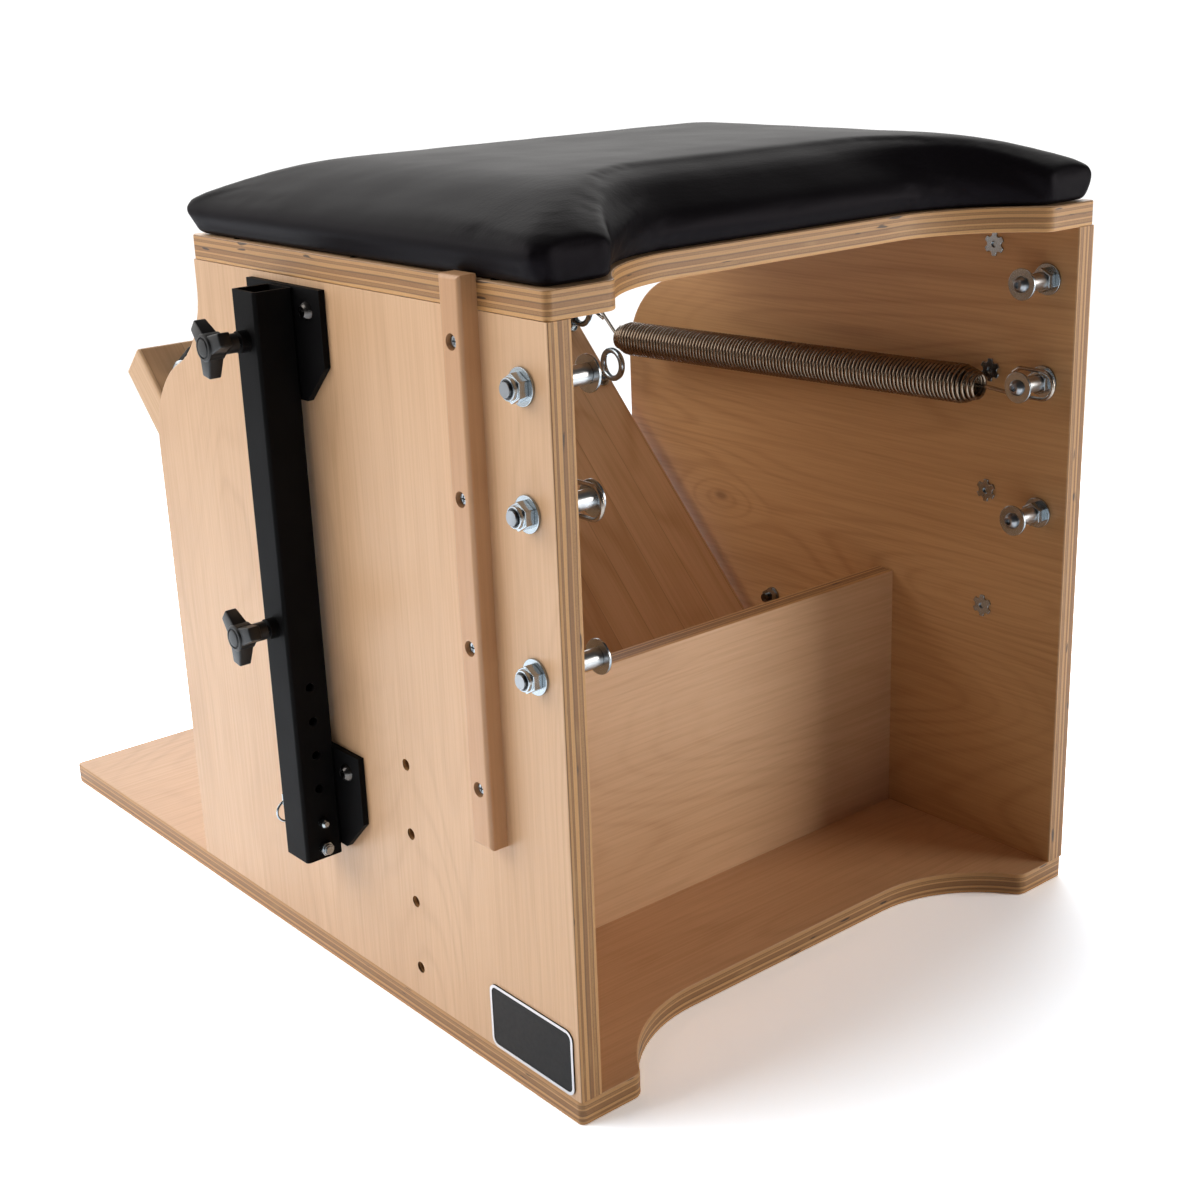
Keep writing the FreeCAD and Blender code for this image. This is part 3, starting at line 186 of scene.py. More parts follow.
def makePlyEdge():
    tree, gin, gout = newGroup("plyEdge", [
        ("Depth", "NodeSocketFloat", 0.0), ("Along", "NodeSocketVector", None),
        ("Plies", "NodeSocketFloat", 7.0), ("Seed", "NodeSocketFloat", 0.0)],
        [("Color", "NodeSocketColor"), ("Roughness", "NodeSocketFloat"), ("Height", "NodeSocketFloat")])
    along = gin.outputs["Along"]
    wander = noiseTex(tree, along, 7.0, 2.0, 0.5)
    uneven = calc(tree, "SINE", calc(tree, "MULTIPLY_ADD", gin.outputs["Depth"], 14.0, gin.outputs["Seed"]))
    level = calc(tree, "MULTIPLY_ADD", gin.outputs["Depth"], gin.outputs["Plies"],
                 calc(tree, "MULTIPLY", uneven, 0.30))
    level = calc(tree, "ADD", level, calc(tree, "MULTIPLY_ADD", wander, 0.5, -0.25))
    layer = calc(tree, "FLOOR", level)
    inLayer = calc(tree, "SUBTRACT", level, layer)
    odd = calc(tree, "ABSOLUTE", calc(tree, "MODULO", layer, 2.0))
    key = calc(tree, "ADD", layer, gin.outputs["Seed"])
    luck = put(tree, "ShaderNodeTexWhiteNoise", {"noise_dimensions": "1D"}, {"W": key}).outputs["Value"]
    streak = noiseTex(tree, vecScale(tree, along, (26.0, 26.0, 900.0)), 1.0, 2.0, 0.6)
    speck = noiseTex(tree, along, 900.0, 2.0, 0.6)
    blotch = noiseTex(tree, vecScale(tree, along, (30.0, 30.0, 120.0)), 1.0, 2.0, 0.5)
    seam = ramp(tree, calc(tree, "ABSOLUTE", calc(tree, "SUBTRACT", inLayer, 0.5)), 0.36, 0.49)
    base = mixColor(tree, calc(tree, "MULTIPLY_ADD", luck, 0.30, calc(tree, "MULTIPLY", odd, 0.56)),
                    (0.63, 0.345, 0.13, 1), (0.21, 0.083, 0.021, 1))
    flecked = calc(tree, "MULTIPLY", ramp(tree, speck, 0.45, 0.7),
                   calc(tree, "MULTIPLY_ADD", odd, 0.30, 0.10))
    base = mixColor(tree, flecked, base, (0.22, 0.11, 0.042, 1))
    base = mixColor(tree, ramp(tree, streak, 0.5, 0.8, 0.0, 0.45), base, (0.33, 0.18, 0.07, 1))
    base = mixColor(tree, ramp(tree, blotch, 0.55, 0.75, 0.0, 0.35), base, (0.50, 0.29, 0.11, 1))
    base = mixColor(tree, calc(tree, "MULTIPLY", seam, 0.74), base, (0.14, 0.064, 0.025, 1))
    lens = noiseTex(tree, vecScale(tree, along, (34.0, 34.0, 250.0)), 1.0, 1.0, 0.4)
    gap = calc(tree, "MULTIPLY", ramp(tree, lens, 0.70, 0.75), calc(tree, "GREATER_THAN", luck, 0.35))
    color = mixColor(tree, calc(tree, "MULTIPLY", gap, 0.88), base, (0.03, 0.014, 0.008, 1))
    tree.links.new(color, gout.inputs["Color"])
    tree.links.new(ramp(tree, speck, 0.2, 0.8, 0.48, 0.64), gout.inputs["Roughness"])
    tree.links.new(calc(tree, "SUBTRACT", calc(tree, "MULTIPLY", speck, 0.4),
                        calc(tree, "ADD", calc(tree, "MULTIPLY", seam, 0.5), gap)),
                   gout.inputs["Height"])
    return tree


veneer = makeVeneer()
plyEdge = makePlyEdge()


def boardMaterial(name, size, thick, start, grain, seed, light, dark, figure=1.0, leaf=0.12,
                  knot=(50, 50, 0), island=(50, 50, 0)):
    material, tree, shader = newMaterial(name)
    coord = put(tree, "ShaderNodeTexCoord")
    split = put(tree, "ShaderNodeSeparateXYZ", {}, {0: coord.outputs["Object"]})
    facing = put(tree, "ShaderNodeSeparateXYZ", {}, {0: coord.outputs["Normal"]})
    across = [a for a in "XYZ" if a not in (thick, grain)][0]
    lay = put(tree, "ShaderNodeCombineXYZ", {},
              {"X": split.outputs[grain], "Y": split.outputs[across], "Z": split.outputs[thick]})
    depth = calc(tree, "DIVIDE", calc(tree, "SUBTRACT", split.outputs[thick], start), size)
    face = useGroup(tree, veneer, {"Coords": lay.outputs[0], "Light": light, "Dark": dark, "Figure": figure,
                                   "Leaf": leaf, "Seed": seed, "Knot": knot, "Island": island})
    edge = useGroup(tree, plyEdge, {"Depth": depth, "Along": lay.outputs[0], "Seed": seed})
    onFace = ramp(tree, calc(tree, "ABSOLUTE", facing.outputs[thick]), 0.55, 0.80)
    color = mixColor(tree, onFace, edge.outputs["Color"], face.outputs["Color"])
    tree.links.new(color, shader.inputs["Base Color"])
    rough = put(tree, "ShaderNodeMix", {"data_type": "FLOAT"},
                {0: onFace, 2: edge.outputs["Roughness"], 3: face.outputs["Roughness"]})
    tree.links.new(rough.outputs[0], shader.inputs["Roughness"])
    height = put(tree, "ShaderNodeMix", {"data_type": "FLOAT"},
                 {0: onFace, 2: edge.outputs["Height"], 3: face.outputs["Height"]})
    tree.links.new(bump(tree, height.outputs[0], 0.18, 0.0004), shader.inputs["Normal"])
    shader.inputs["Coat Weight"].default_value = 0.12
    shader.inputs["Coat Roughness"].default_value = 0.35
    return material


pale = {"light": (0.77, 0.495, 0.292, 1), "dark": (0.50, 0.275, 0.128, 1)}
# The inside boards (base, partition, right panel) get darker, redder tones: partly the wood's own tone,
# partly painted shade of the case's inside
warmToneAndShade = {"light": (0.74, 0.455, 0.255, 1), "dark": (0.43, 0.215, 0.09, 1)}
amberToneAndShade = {"light": (0.60, 0.345, 0.155, 1), "dark": (0.28, 0.125, 0.040, 1)}
boards = {
    "base_board": dict(warmToneAndShade, thick="Z", start=0.0, grain="X", seed=3.1, figure=0.5),
    "top_board": dict(pale, thick="Z", start=0.559, grain="Y", seed=7.7, figure=0.4),
    "side_panel_left": dict(pale, thick="X", start=0.251, grain="Z", seed=1.3, figure=0.5, leaf=0.085),
    "side_panel_right": dict(amberToneAndShade, thick="X", start=-0.270, grain="Y", seed=5.9, figure=0.62, leaf=0.21,
                             knot=(0.0006, 0.2706, 0), island=(0.27, 0.250, 0)),
    "partition_board": dict(warmToneAndShade, thick="Y", start=0.203, grain="X", seed=9.2, figure=0.4),
    "seat_backing_board": dict(pale, thick="Z", start=0.578, grain="X", seed=2.2)}
boardThickness = 0.019


def dress(node, material):
    mesh = nodes[node].data
    mesh.materials.clear()
    mesh.materials.append(material)


for name, look in boards.items():
    dress(name, boardMaterial(name + "Wood", boardThickness, **look))
print("boards done")


# Pedal: glued staves along the slope

pedalLook = {"hinge": (0, 0.135, 0.023), "slope": 46.4, "stave": 0.0385, "light": (0.88, 0.60, 0.36, 1),
             "dark": (0.44, 0.23, 0.095, 1), "redder": (0.45, 0.235, 0.105, 1),
             "joint": (0.22, 0.11, 0.05, 1)}


def pedalMaterial():
    material, tree, shader = newMaterial("pedalStaves")
    coord = put(tree, "ShaderNodeTexCoord")
    turn = put(tree, "ShaderNodeMapping", {"vector_type": "TEXTURE"},
               {"Vector": coord.outputs["Object"], "Location": pedalLook["hinge"],
                "Rotation": (math.radians(-pedalLook["slope"]), 0, 0)})
    split = put(tree, "ShaderNodeSeparateXYZ", {}, {0: turn.outputs[0]})
    width = pedalLook["stave"]
    stave = calc(tree, "FLOOR", calc(tree, "DIVIDE", split.outputs["X"], width))
    luck = put(tree, "ShaderNodeTexWhiteNoise", {"noise_dimensions": "1D"},
               {"W": calc(tree, "ADD", stave, 4.3)})
    inStave = calc(tree, "FRACT", calc(tree, "DIVIDE", split.outputs["X"], width))
    joint = ramp(tree, calc(tree, "ABSOLUTE", calc(tree, "SUBTRACT", inStave, 0.5)), 0.482, 0.498)
    slide = calc(tree, "MULTIPLY", luck.outputs["Value"], 3.0)
    lay = put(tree, "ShaderNodeCombineXYZ", {}, {"X": calc(tree, "ADD", split.outputs["Y"], slide),
                                                 "Y": calc(tree, "ADD", split.outputs["X"], slide),
                                                 "Z": split.outputs["Z"]})
    grain = useGroup(tree, veneer,
                     {"Coords": lay.outputs[0], "Light": pedalLook["light"], "Dark": pedalLook["dark"],
                      "Figure": 0.95, "Leaf": 0.9, "Seed": 6.4})
    color = mixColor(tree, calc(tree, "MULTIPLY", luck.outputs["Value"], 0.65), grain.outputs["Color"],
                     pedalLook["redder"])
    color = mixColor(tree, calc(tree, "MULTIPLY", joint, 0.45), color, pedalLook["joint"])
    tree.links.new(color, shader.inputs["Base Color"])
    tree.links.new(grain.outputs["Roughness"], shader.inputs["Roughness"])
    tree.links.new(bump(tree, calc(tree, "SUBTRACT", grain.outputs["Height"], joint), 0.2, 0.0004),
                   shader.inputs["Normal"])
    shader.inputs["Coat Weight"].default_value = 0.12
    shader.inputs["Coat Roughness"].default_value = 0.35
    return material


def stickMaterial():
    material, tree, shader = newMaterial("battenWood")
    coord = put(tree, "ShaderNodeTexCoord")
    split = put(tree, "ShaderNodeSeparateXYZ", {}, {0: coord.outputs["Object"]})
    lay = put(tree, "ShaderNodeCombineXYZ", {},
              {"X": split.outputs["Z"], "Y": split.outputs["Y"], "Z": split.outputs["X"]})
    grain = useGroup(tree, veneer, {"Coords": lay.outputs[0], "Light": (0.66, 0.375, 0.193, 1),
                                    "Dark": (0.44, 0.22, 0.098, 1), "Figure": 0.5, "Leaf": 0.9,
                                    "Seed": 12.5})
    tree.links.new(grain.outputs["Color"], shader.inputs["Base Color"])
    tree.links.new(grain.outputs["Roughness"], shader.inputs["Roughness"])
    tree.links.new(bump(tree, grain.outputs["Height"], 0.2, 0.0004), shader.inputs["Normal"])
    shader.inputs["Coat Weight"].default_value = 0.12
    return material


# Metals, coats, plastic and rubber

def metalMaterial(name, color, roughness, tint, tintShare):
    material, tree, shader = newMaterial(name)
    coord = put(tree, "ShaderNodeTexCoord").outputs["Object"]
    cloud = noiseTex(tree, coord, 90.0, 2.0, 0.6)
    fine = noiseTex(tree, coord, 1400.0, 2.0, 0.6)
    tree.links.new(mixColor(tree, ramp(tree, cloud, 0.4, 0.7, 0.0, tintShare), color, tint),
                   shader.inputs["Base Color"])
    tree.links.new(calc(tree, "MULTIPLY_ADD", cloud, 0.16, roughness - 0.08), shader.inputs["Roughness"])
    tree.links.new(bump(tree, fine, 0.06, 0.0002), shader.inputs["Normal"])
    shader.inputs["Metallic"].default_value = 1.0
    return material


def coatMaterial(name, color, roughness, scale, strength, shine=0.5, distance=0.0003):
    material, tree, shader = newMaterial(name)
    coord = put(tree, "ShaderNodeTexCoord").outputs["Object"]
    pebble = noiseTex(tree, coord, scale, 2.0, 0.55)
    cloud = noiseTex(tree, coord, 22.0, 2.0, 0.6)
    worn = tuple(c * 1.7 for c in color[:3]) + (1,)
    tree.links.new(mixColor(tree, ramp(tree, cloud, 0.4, 0.75, 0.0, 0.6), color, worn),
                   shader.inputs["Base Color"])
    tree.links.new(calc(tree, "MULTIPLY_ADD", cloud, 0.14, roughness - 0.07), shader.inputs["Roughness"])
    tree.links.new(bump(tree, pebble, strength, distance), shader.inputs["Normal"])
    shader.inputs["Specular IOR Level"].default_value = shine
    return material


def plateMaterial():
    material, tree, shader = newMaterial("plateEnamel")
    coord = put(tree, "ShaderNodeTexCoord").outputs["Object"]
    split = put(tree, "ShaderNodeSeparateXYZ", {}, {0: coord})
    low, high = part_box("name_plate")
    level = ramp(tree, split.outputs["X"], high[0] - 0.00022, high[0] - 0.00012)
    scuff = noiseTex(tree, coord, 300.0, 3.0, 0.6)
    tree.links.new(mixColor(tree, level, (0.0055, 0.0053, 0.0058, 1), (0.55, 0.55, 0.57, 1)),
                   shader.inputs["Base Color"])
    tree.links.new(calc(tree, "MULTIPLY", level, 0.9), shader.inputs["Metallic"])
    tree.links.new(ramp(tree, scuff, 0.3, 0.7, 0.30, 0.42), shader.inputs["Roughness"])
    tree.links.new(bump(tree, scuff, 0.05, 0.0002), shader.inputs["Normal"])
    shader.inputs["Specular IOR Level"].default_value = 0.10
    return material


# Lock nut places; ring is the radius of the painted shade round each bolt end
lockNut = {"axisY": 0.376, "heights": (0.327, 0.436, 0.517), "outside": 0.2782, "ring": 0.0064}


def lockNutMaterial():
    material = metalMaterial("lockNutZinc", (0.38, 0.415, 0.44, 1), 0.22, (0.28, 0.305, 0.32, 1), 0.5)
    tree = material.node_tree
    shader = tree.nodes["Principled BSDF"]
    split = put(tree, "ShaderNodeSeparateXYZ", {}, {0: put(tree, "ShaderNodeTexCoord").outputs["Object"]})
    sideways = calc(tree, "SUBTRACT", split.outputs["Y"], lockNut["axisY"])
    gap = 1.0
    for height in lockNut["heights"]:
        rise = calc(tree, "SUBTRACT", split.outputs["Z"], height)
        square = calc(tree, "ADD", calc(tree, "MULTIPLY", sideways, sideways),
                      calc(tree, "MULTIPLY", rise, rise))
        gap = calc(tree, "MINIMUM", calc(tree, "SQRT", square), gap)
    # The dark, non-metal ring round each bolt end on the outer faces is painted shade for the recess of the
    # nut's bore
    ring = calc(tree, "MULTIPLY", calc(tree, "LESS_THAN", gap, lockNut["ring"]),
                calc(tree, "GREATER_THAN", calc(tree, "ABSOLUTE", split.outputs["X"]), lockNut["outside"]))
    plain = shader.inputs["Base Color"].links[0].from_socket
    tree.links.new(mixColor(tree, ring, plain, (0.012, 0.014, 0.018, 1)), shader.inputs["Base Color"])
    tree.links.new(calc(tree, "SUBTRACT", 1.0, ring), shader.inputs["Metallic"])
    return material


zinc = metalMaterial("zincPlate", (0.35, 0.385, 0.41, 1), 0.24, (0.27, 0.295, 0.305, 1), 0.5)
# Spring and hook steel are darkened and tinted brown: partly the steel's own tone, partly painted shade and
# painted reflection of the wood around them
springSteel = metalMaterial("springSteel", (0.23, 0.18, 0.135, 1), 0.25, (0.21, 0.15, 0.10, 1), 0.4)
hookSteel = metalMaterial("hookSteel", (0.31, 0.27, 0.23, 1), 0.24, (0.22, 0.18, 0.15, 1), 0.4)
turnedSteel = metalMaterial("turnedSteel", (0.50, 0.50, 0.50, 1), 0.30, (0.36, 0.355, 0.35, 1), 0.5)
boltSteel = metalMaterial("boltSteel", (0.26, 0.27, 0.285, 1), 0.30, (0.18, 0.185, 0.19, 1), 0.5)
blackened = metalMaterial("blackenedSteel", (0.075, 0.07, 0.067, 1), 0.26, (0.11, 0.10, 0.09, 1), 0.5)
nickel = metalMaterial("nickelPlate", (0.62, 0.61, 0.58, 1), 0.30, (0.50, 0.48, 0.44, 1), 0.4)
powder = coatMaterial("powderCoat", (0.0034, 0.0032, 0.0034, 1), 0.56, 900.0, 0.32, 0.05)
plastic = coatMaterial("blackPlastic", (0.006, 0.0058, 0.0062, 1), 0.42, 1600.0, 0.12, 0.32)
rubber = coatMaterial("blackRubber", (0.009, 0.009, 0.009, 1), 0.72, 1200.0, 0.15, 0.3)
slotLooks = {"pedal_wood": pedalMaterial(), "batten_wood": stickMaterial(), "black_coat": powder,
             "black_plastic": plastic, "rubber": rubber, "spring_steel": springSteel, "zinc": zinc,
             "hinge_steel": nickel, "plate_coat": plateMaterial()}
slots = {part["node"]: part["material_slot"] for part in frame["record"]["subparts"]}
for name, slot in slots.items():
    if slot in slotLooks:
        dress(name, slotLooks[slot])
dress("receiver_bolts", blackened)
dress("post_lock_nuts", lockNutMaterial())
for name in ("spring_rear_hook_left", "spring_rear_hook_right", "spring_front_hook_left",
             "spring_front_hook_right"):
    dress(name, hookSteel)
dress("post_sleeves", turnedSteel)
dress("post_bolts", boltSteel)
print("materials done")


# Hardware and receivers with softened edges, which catch the light as real ones do

softEdges = {
    "case": {"post_washers": 0.0004, "post_sleeves": 0.0005, "post_jam_nuts": 0.0006,
             "post_lock_nuts": 0.0006, "post_bolts": 0.0004, "stop_nuts": 0.0005, "tee_nuts": 0.0003,
             "receiver_left": 0.0006, "receiver_right": 0.0006},
    "pedal": {"eyebolt_washers": 0.0003, "eyebolt_nuts": 0.0005}}


def soften(name, body, width):
    mesh = nodes[name].data.copy()
    mesh.name = name + "_soft"
    grid = bmesh.new()
    grid.from_mesh(mesh)
    bmesh.ops.remove_doubles(grid, verts=grid.verts, dist=1e-6)
    bmesh.ops.dissolve_limit(grid, angle_limit=math.radians(0.5), verts=grid.verts, edges=grid.edges)
    sharp = [e for e in grid.edges if len(e.link_faces) == 2 and e.calc_face_angle(0.0) > math.radians(35)]
    bmesh.ops.bevel(grid, geom=sharp, offset=width, segments=2, profile=0.5, affect="EDGES",
                    clamp_overlap=True)
    for face in grid.faces:
        face.smooth = True
    grid.to_mesh(mesh)
    grid.free()
    mesh.set_sharp_from_angle(angle=math.radians(50))
    piece = bpy.data.objects.new(name + "_soft", mesh)
    scene.collection.objects.link(piece)
    piece.modifiers.new("even", "WEIGHTED_NORMAL").keep_sharp = True
    depsgraph = bpy.context.evaluated_depsgraph_get()
    final = bpy.data.meshes.new_from_object(piece.evaluated_get(depsgraph))
    piece.modifiers.clear()
    piece.data = final
    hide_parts(name)
    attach(piece, body)
    return piece


for body, widths in softEdges.items():
    for name, width in widths.items():
        soften(name, body, width)
print("hardware softened")


# Springs: true close-wound coils, drawn by a node group and stretched between their two hooks

def makeCoilGroup():
    tree = bpy.data.node_groups.new("woundCoil", "GeometryNodeTree")
    for label in ("Turns", "Length", "Radius", "End Radius", "Taper", "Wire Radius"):
        tree.interface.new_socket(label, in_out="INPUT", socket_type="NodeSocketFloat")
    tree.interface.new_socket("Material", in_out="INPUT", socket_type="NodeSocketMaterial")
    tree.interface.new_socket("Geometry", in_out="OUTPUT", socket_type="NodeSocketGeometry")
    gin = tree.nodes.new("NodeGroupInput")
    gout = tree.nodes.new("NodeGroupOutput")
    radius = gin.outputs["Radius"]
    spiral = put(tree, "GeometryNodeCurveSpiral", {},
                 {"Resolution": 20, "Rotations": gin.outputs["Turns"], "Start Radius": radius,
                  "End Radius": radius, "Height": gin.outputs["Length"]})
    along = put(tree, "GeometryNodeSplineParameter").outputs["Factor"]
    nearEnd = calc(tree, "DIVIDE", calc(tree, "MINIMUM", along, calc(tree, "SUBTRACT", 1.0, along)),
                   gin.outputs["Taper"])
    share = calc(tree, "DIVIDE", gin.outputs["End Radius"], gin.outputs["Radius"])
    swell = put(tree, "ShaderNodeMapRange", {"interpolation_type": "SMOOTHSTEP"},
                {"Value": nearEnd, "From Min": 0.0, "From Max": 1.0, "To Min": share,
                 "To Max": 1.0}).outputs[0]
    scale = put(tree, "ShaderNodeCombineXYZ", {}, {"X": swell, "Y": swell, "Z": 1.0}).outputs[0]
    place = put(tree, "GeometryNodeInputPosition").outputs[0]
    moved = put(tree, "ShaderNodeVectorMath", {"operation": "MULTIPLY"}, {0: place, 1: scale}).outputs[0]
    drawn = put(tree, "GeometryNodeSetPosition", {}, {"Geometry": spiral.outputs[0], "Position": moved})
    ring = put(tree, "GeometryNodeCurvePrimitiveCircle", {},
               {"Resolution": 8, "Radius": gin.outputs["Wire Radius"]})
    tube = put(tree, "GeometryNodeCurveToMesh", {},
               {"Curve": drawn.outputs[0], "Profile Curve": ring.outputs[0], "Fill Caps": True})
    smooth = put(tree, "GeometryNodeSetShadeSmooth", {}, {"Geometry": tube.outputs[0]})
    whole = put(tree, "GeometryNodeRealizeInstances", {}, {"Geometry": smooth.outputs[0]})
    tinted = put(tree, "GeometryNodeSetMaterial", {},
                 {"Geometry": whole.outputs[0], "Material": gin.outputs["Material"]})
    tree.links.new(tinted.outputs[0], gout.inputs["Geometry"])
    return tree


def grown(name, group, values):
    mesh = bpy.data.meshes.new(name)
    holder = bpy.data.objects.new(name, mesh)
    scene.collection.objects.link(holder)
    modifier = holder.modifiers.new("grow", "NODES")
    modifier.node_group = group
    for item in group.interface.items_tree:
        if item.item_type == "SOCKET" and item.in_out == "INPUT" and item.name in values:
            modifier[item.identifier] = values[item.name]
    depsgraph = bpy.context.evaluated_depsgraph_get()
    final = bpy.data.meshes.new_from_object(holder.evaluated_get(depsgraph))
    holder.modifiers.remove(modifier)
    holder.data = final
    return holder


coilSizes = {"Turns": 107.0, "Radius": 0.0148, "End Radius": 0.0100, "Taper": 0.042, "Wire Radius": 0.00158}
# Where the coil meets its front and rear hooks, on the left
coilEnds = {"front": (0.2070, -0.0925, 0.4217), "rear": (0.2230, 0.3352, 0.4310)}
coilGroup = makeCoilGroup()
for side, sign in (("left", 1), ("right", -1)):
    mirror = Vector((sign, 1, 1))
    first = Vector(coilEnds["front"]) * mirror
    last = Vector(coilEnds["rear"]) * mirror
    coil = grown("coil_" + side, coilGroup,
                 dict(coilSizes, Length=(last - first).length, Material=springSteel))
    way = (last - first).normalized()
    coil.data.transform(Matrix.Translation(first) @ way.to_track_quat("Z", "X").to_matrix().to_4x4())
    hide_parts("spring_coil_" + side)
    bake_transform(coil)
    print("coil", side, len(coil.data.polygons))


# Cushion: the CAD form made into an even skin, blown up a little as cloth, then given its corner seams

def vinylMaterial():
    material, tree, shader = newMaterial("blackVinyl")
    coord = put(tree, "ShaderNodeTexCoord").outputs["Object"]
    split = put(tree, "ShaderNodeSeparateXYZ", {}, {0: coord})
    cell = put(tree, "ShaderNodeTexVoronoi", {"feature": "SMOOTH_F1"},
               {"Vector": coord, "Scale": 620.0, "Smoothness": 0.5})
    fine = noiseTex(tree, coord, 1500.0, 2.0, 0.6)
    cloud = noiseTex(tree, coord, 9.0, 3.0, 0.55)
    pucker = noiseTex(tree, vecScale(tree, coord, (70.0, 260.0, 260.0)), 1.0, 2.0, 0.5, 0.6)
    rearBand = ramp(tree, split.outputs["Y"], 0.245, 0.325)
    topBand = ramp(tree, split.outputs["Z"], 0.585, 0.612)
    pucker = calc(tree, "MULTIPLY", pucker, calc(tree, "MULTIPLY", rearBand, topBand))
    height = calc(tree, "ADD", calc(tree, "MULTIPLY", cell.outputs["Distance"], 0.35),
                  calc(tree, "MULTIPLY", fine, 0.15))
    height = calc(tree, "ADD", height, calc(tree, "MULTIPLY", pucker, 1.2))
    tree.links.new(mixColor(tree, ramp(tree, cloud, 0.35, 0.7, 0.0, 0.7), (0.0046, 0.0039, 0.0047, 1),
                            (0.0068, 0.0059, 0.0070, 1)),
                   shader.inputs["Base Color"])
    tree.links.new(calc(tree, "MULTIPLY_ADD", cloud, 0.10, 0.43), shader.inputs["Roughness"])
    tree.links.new(bump(tree, height, 0.22, 0.0005), shader.inputs["Normal"])
    shader.inputs["Specular IOR Level"].default_value = 0.042
    shader.inputs["Specular Tint"].default_value = (0.94, 0.82, 1.0, 1)
    return material


cushionSizes = {"voxel": 0.0045, "pressure": 2.5, "frames": 20, "cap": 0.0016, "pinBelow": 0.5825,
                "half": 0.2746, "front": -0.0396, "rear": 0.4022, "seamDepth": 0.0022, "seamWidth": 0.0040,
                "seamIn": 0.0045, "seamTop": 0.616, "seamFade": 0.02, "seamFoot": 0.579, "footFade": 0.004,
                "puff": 0.0012, "puffAway": 0.018, "puffWidth": 0.012, "rearStop": 0.4028, "floor": 0.5783,
                "lumpAbove": 0.59, "lump": 0.00035, "fineLump": 0.00010}


